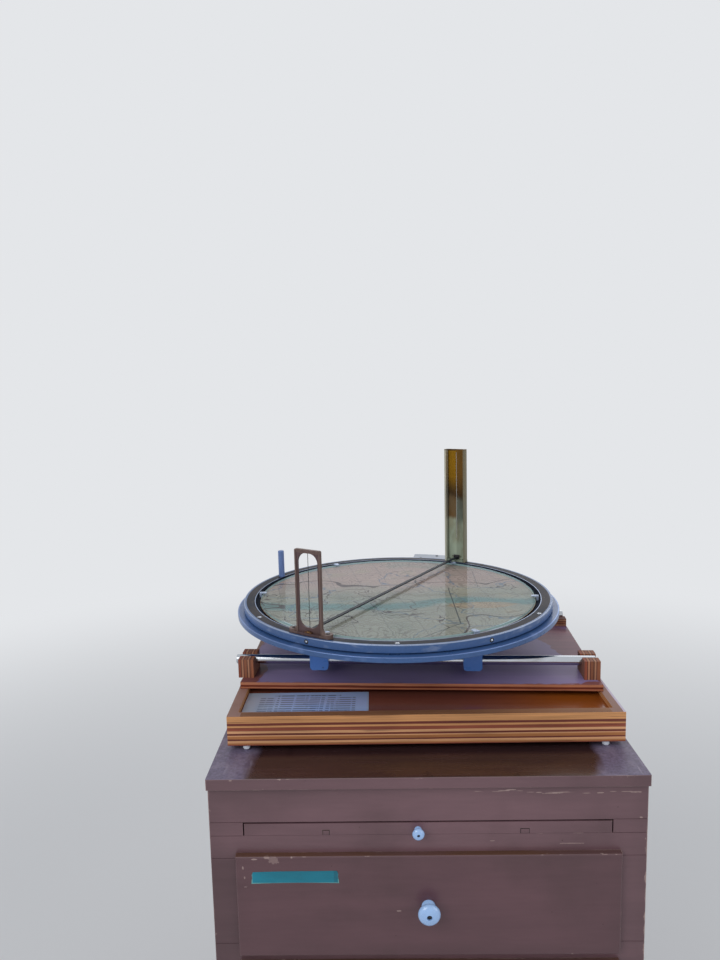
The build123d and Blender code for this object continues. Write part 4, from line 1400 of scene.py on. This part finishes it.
class DressSights(bpy.types.Operator):
    """Both sights, the tape between them, the index plate and the peg"""

    bl_idname = "fire_finder.sights"
    bl_label = "Sights, tape, plate and peg"

    def execute(self, context):
        s = context.scene.fire_finder_instrument
        ring_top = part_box("azimuth_ring")[1].z
        foot_top = ring_top + 0.004
        front_angle, rear_angle = bearing("sight_hair"), math.degrees(s.rear_bearing)
        front_turn = math.radians(front_angle)
        front_radius, hair_radius, foot_reach = 0.2915, 0.2957, 0.036
        rear_radius, keeper_radius = 0.3008, 0.2993

        bronze = front_sight_finish(s, front_turn)
        dress(bronze, "front_sight")
        gussets = corner_gussets()
        gussets.data.transform(on_ring(front_angle, front_radius, ring_top, front_turn - math.pi / 2))
        hand_over(gussets, bronze, "sight_ring", "bronze")
        dress(worn_metal("hair_wire", tint(58, 56, 58), tint(36, 34, 34), 400.0, 0.5, 0.6), "sight_hair")

        dress_rear_sight(s)
        dress_tape()
        dress(enamel("peg_enamel", tint(105, 129, 180), tint(150, 162, 186), 0.34), "handle_peg")
        dress(enamel("plate_enamel", tint(148, 158, 174), tint(190, 196, 206), 0.36), "index_plate")
        dark = worn_metal("plate_screw_metal", tint(60, 58, 60), tint(36, 34, 34), 260.0, 0.4)
        screw = slotted_screw("plate_screw", 0.0036, 0.0012, 0.0009)
        plate_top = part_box("index_plate")[1].z
        places = [on_ring(angle, radius, plate_top) for angle, radius in ((65.0, 0.314), (77.6, 0.314), (71.5, 0.34))]
        scattered("index_plate_screws", screw, places, dark, "sight_ring", "chrome", last=False)

        keeper = bar_piece("tape_keeper", (-0.0072, -0.0007, 0.0), (0.0072, 0.0007, 0.0105), 0.0006)
        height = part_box("sight_tape")[0].z - 0.0035
        keeper.data.transform(on_ring(rear_angle, keeper_radius, height, s.rear_bearing - math.pi / 2))
        hand_over(keeper, dark, "sight_ring", "bronze")
        clamp = bar_piece("hair_clamp", (-0.0027, -0.0070, -0.0002), (0.0027, 0.0070, 0.0026), 0.0007)
        clamp.data.transform(on_ring(front_angle, hair_radius, foot_top, front_turn))
        metal = worn_metal("clamp_bronze", tint(112, 74, 46), tint(46, 30, 22), 260.0, 0.4, 0.4)
        hand_over(clamp, metal, "sight_ring", "bronze")
        washer = turned_piece("hair_washer", [(0.0030, 0.0022), (0.0030, 0.0032), (0.0026, 0.0036)], 24)
        washer.data.transform(on_ring(front_angle, hair_radius, foot_top))
        metal = worn_metal("washer_brass", tint(190, 142, 78), tint(110, 74, 40), 260.0, 0.3, 0.7)
        hand_over(washer, metal, "sight_ring", "bronze")

        spread = math.degrees(math.asin(foot_reach / front_radius))
        places = [
            on_ring(angle, radius, height, angle) @ Matrix.Scale(size, 4)
            for angle, radius, height, size in (
                (front_angle - spread, front_radius, ring_top + 0.007, 1.0),
                (front_angle, hair_radius, foot_top + 0.0035, 0.55),
                (front_angle + spread, front_radius, ring_top + 0.007, 1.0),
            )
        ]
        scattered("front_sight_screws", screw, places, dark, "sight_ring", "chrome", last=False)
        places = [on_ring(rear_angle + offset, rear_radius, foot_top) for offset in (-3.4, 3.4)]
        scattered("rear_sight_screws", screw, places, dark, "sight_ring", "chrome")
        return {"FINISHED"}


OPERATORS = (
    DressStage,
    DressCabinet,
    AddKnobs,
    AddLabel,
    DressBase,
    DressRods,
    DressCasting,
    DressRing,
    DressSights,
)


class FireFinderPanel(bpy.types.Panel):
    """Sidebar panel of the fire finder"""

    bl_idname = "VIEW3D_PT_fire_finder"
    bl_label = "Fire finder"
    bl_space_type = "VIEW_3D"
    bl_region_type = "UI"
    bl_category = "Fire finder"

    def draw(self, context):
        for name in SETTINGS:
            group = getattr(context.scene, name)
            for setting in group.bl_rna.properties.keys():
                if setting not in ("rna_type", "name"):
                    self.layout.prop(group, setting)
        for operator in OPERATORS:
            self.layout.operator(operator.bl_idname)


SETTINGS = {
    "fire_finder_cabinet": CabinetSettings,
    "fire_finder_base": BaseSettings,
    "fire_finder_instrument": InstrumentSettings,
    "fire_finder_stage": StageSettings,
}


def register():
    for kind in (*SETTINGS.values(), *OPERATORS, FireFinderPanel):
        bpy.utils.register_class(kind)
    for name, group in SETTINGS.items():
        setattr(bpy.types.Scene, name, bpy.props.PointerProperty(type=group))


def unregister():
    for name in SETTINGS:
        delattr(bpy.types.Scene, name)
    for kind in reversed((*SETTINGS.values(), *OPERATORS, FireFinderPanel)):
        bpy.utils.unregister_class(kind)


def main():
    register()
    for operator in OPERATORS:
        group, name = operator.bl_idname.split(".")
        getattr(getattr(bpy.ops, group), name)()


if __name__ == "__main__":
    main()
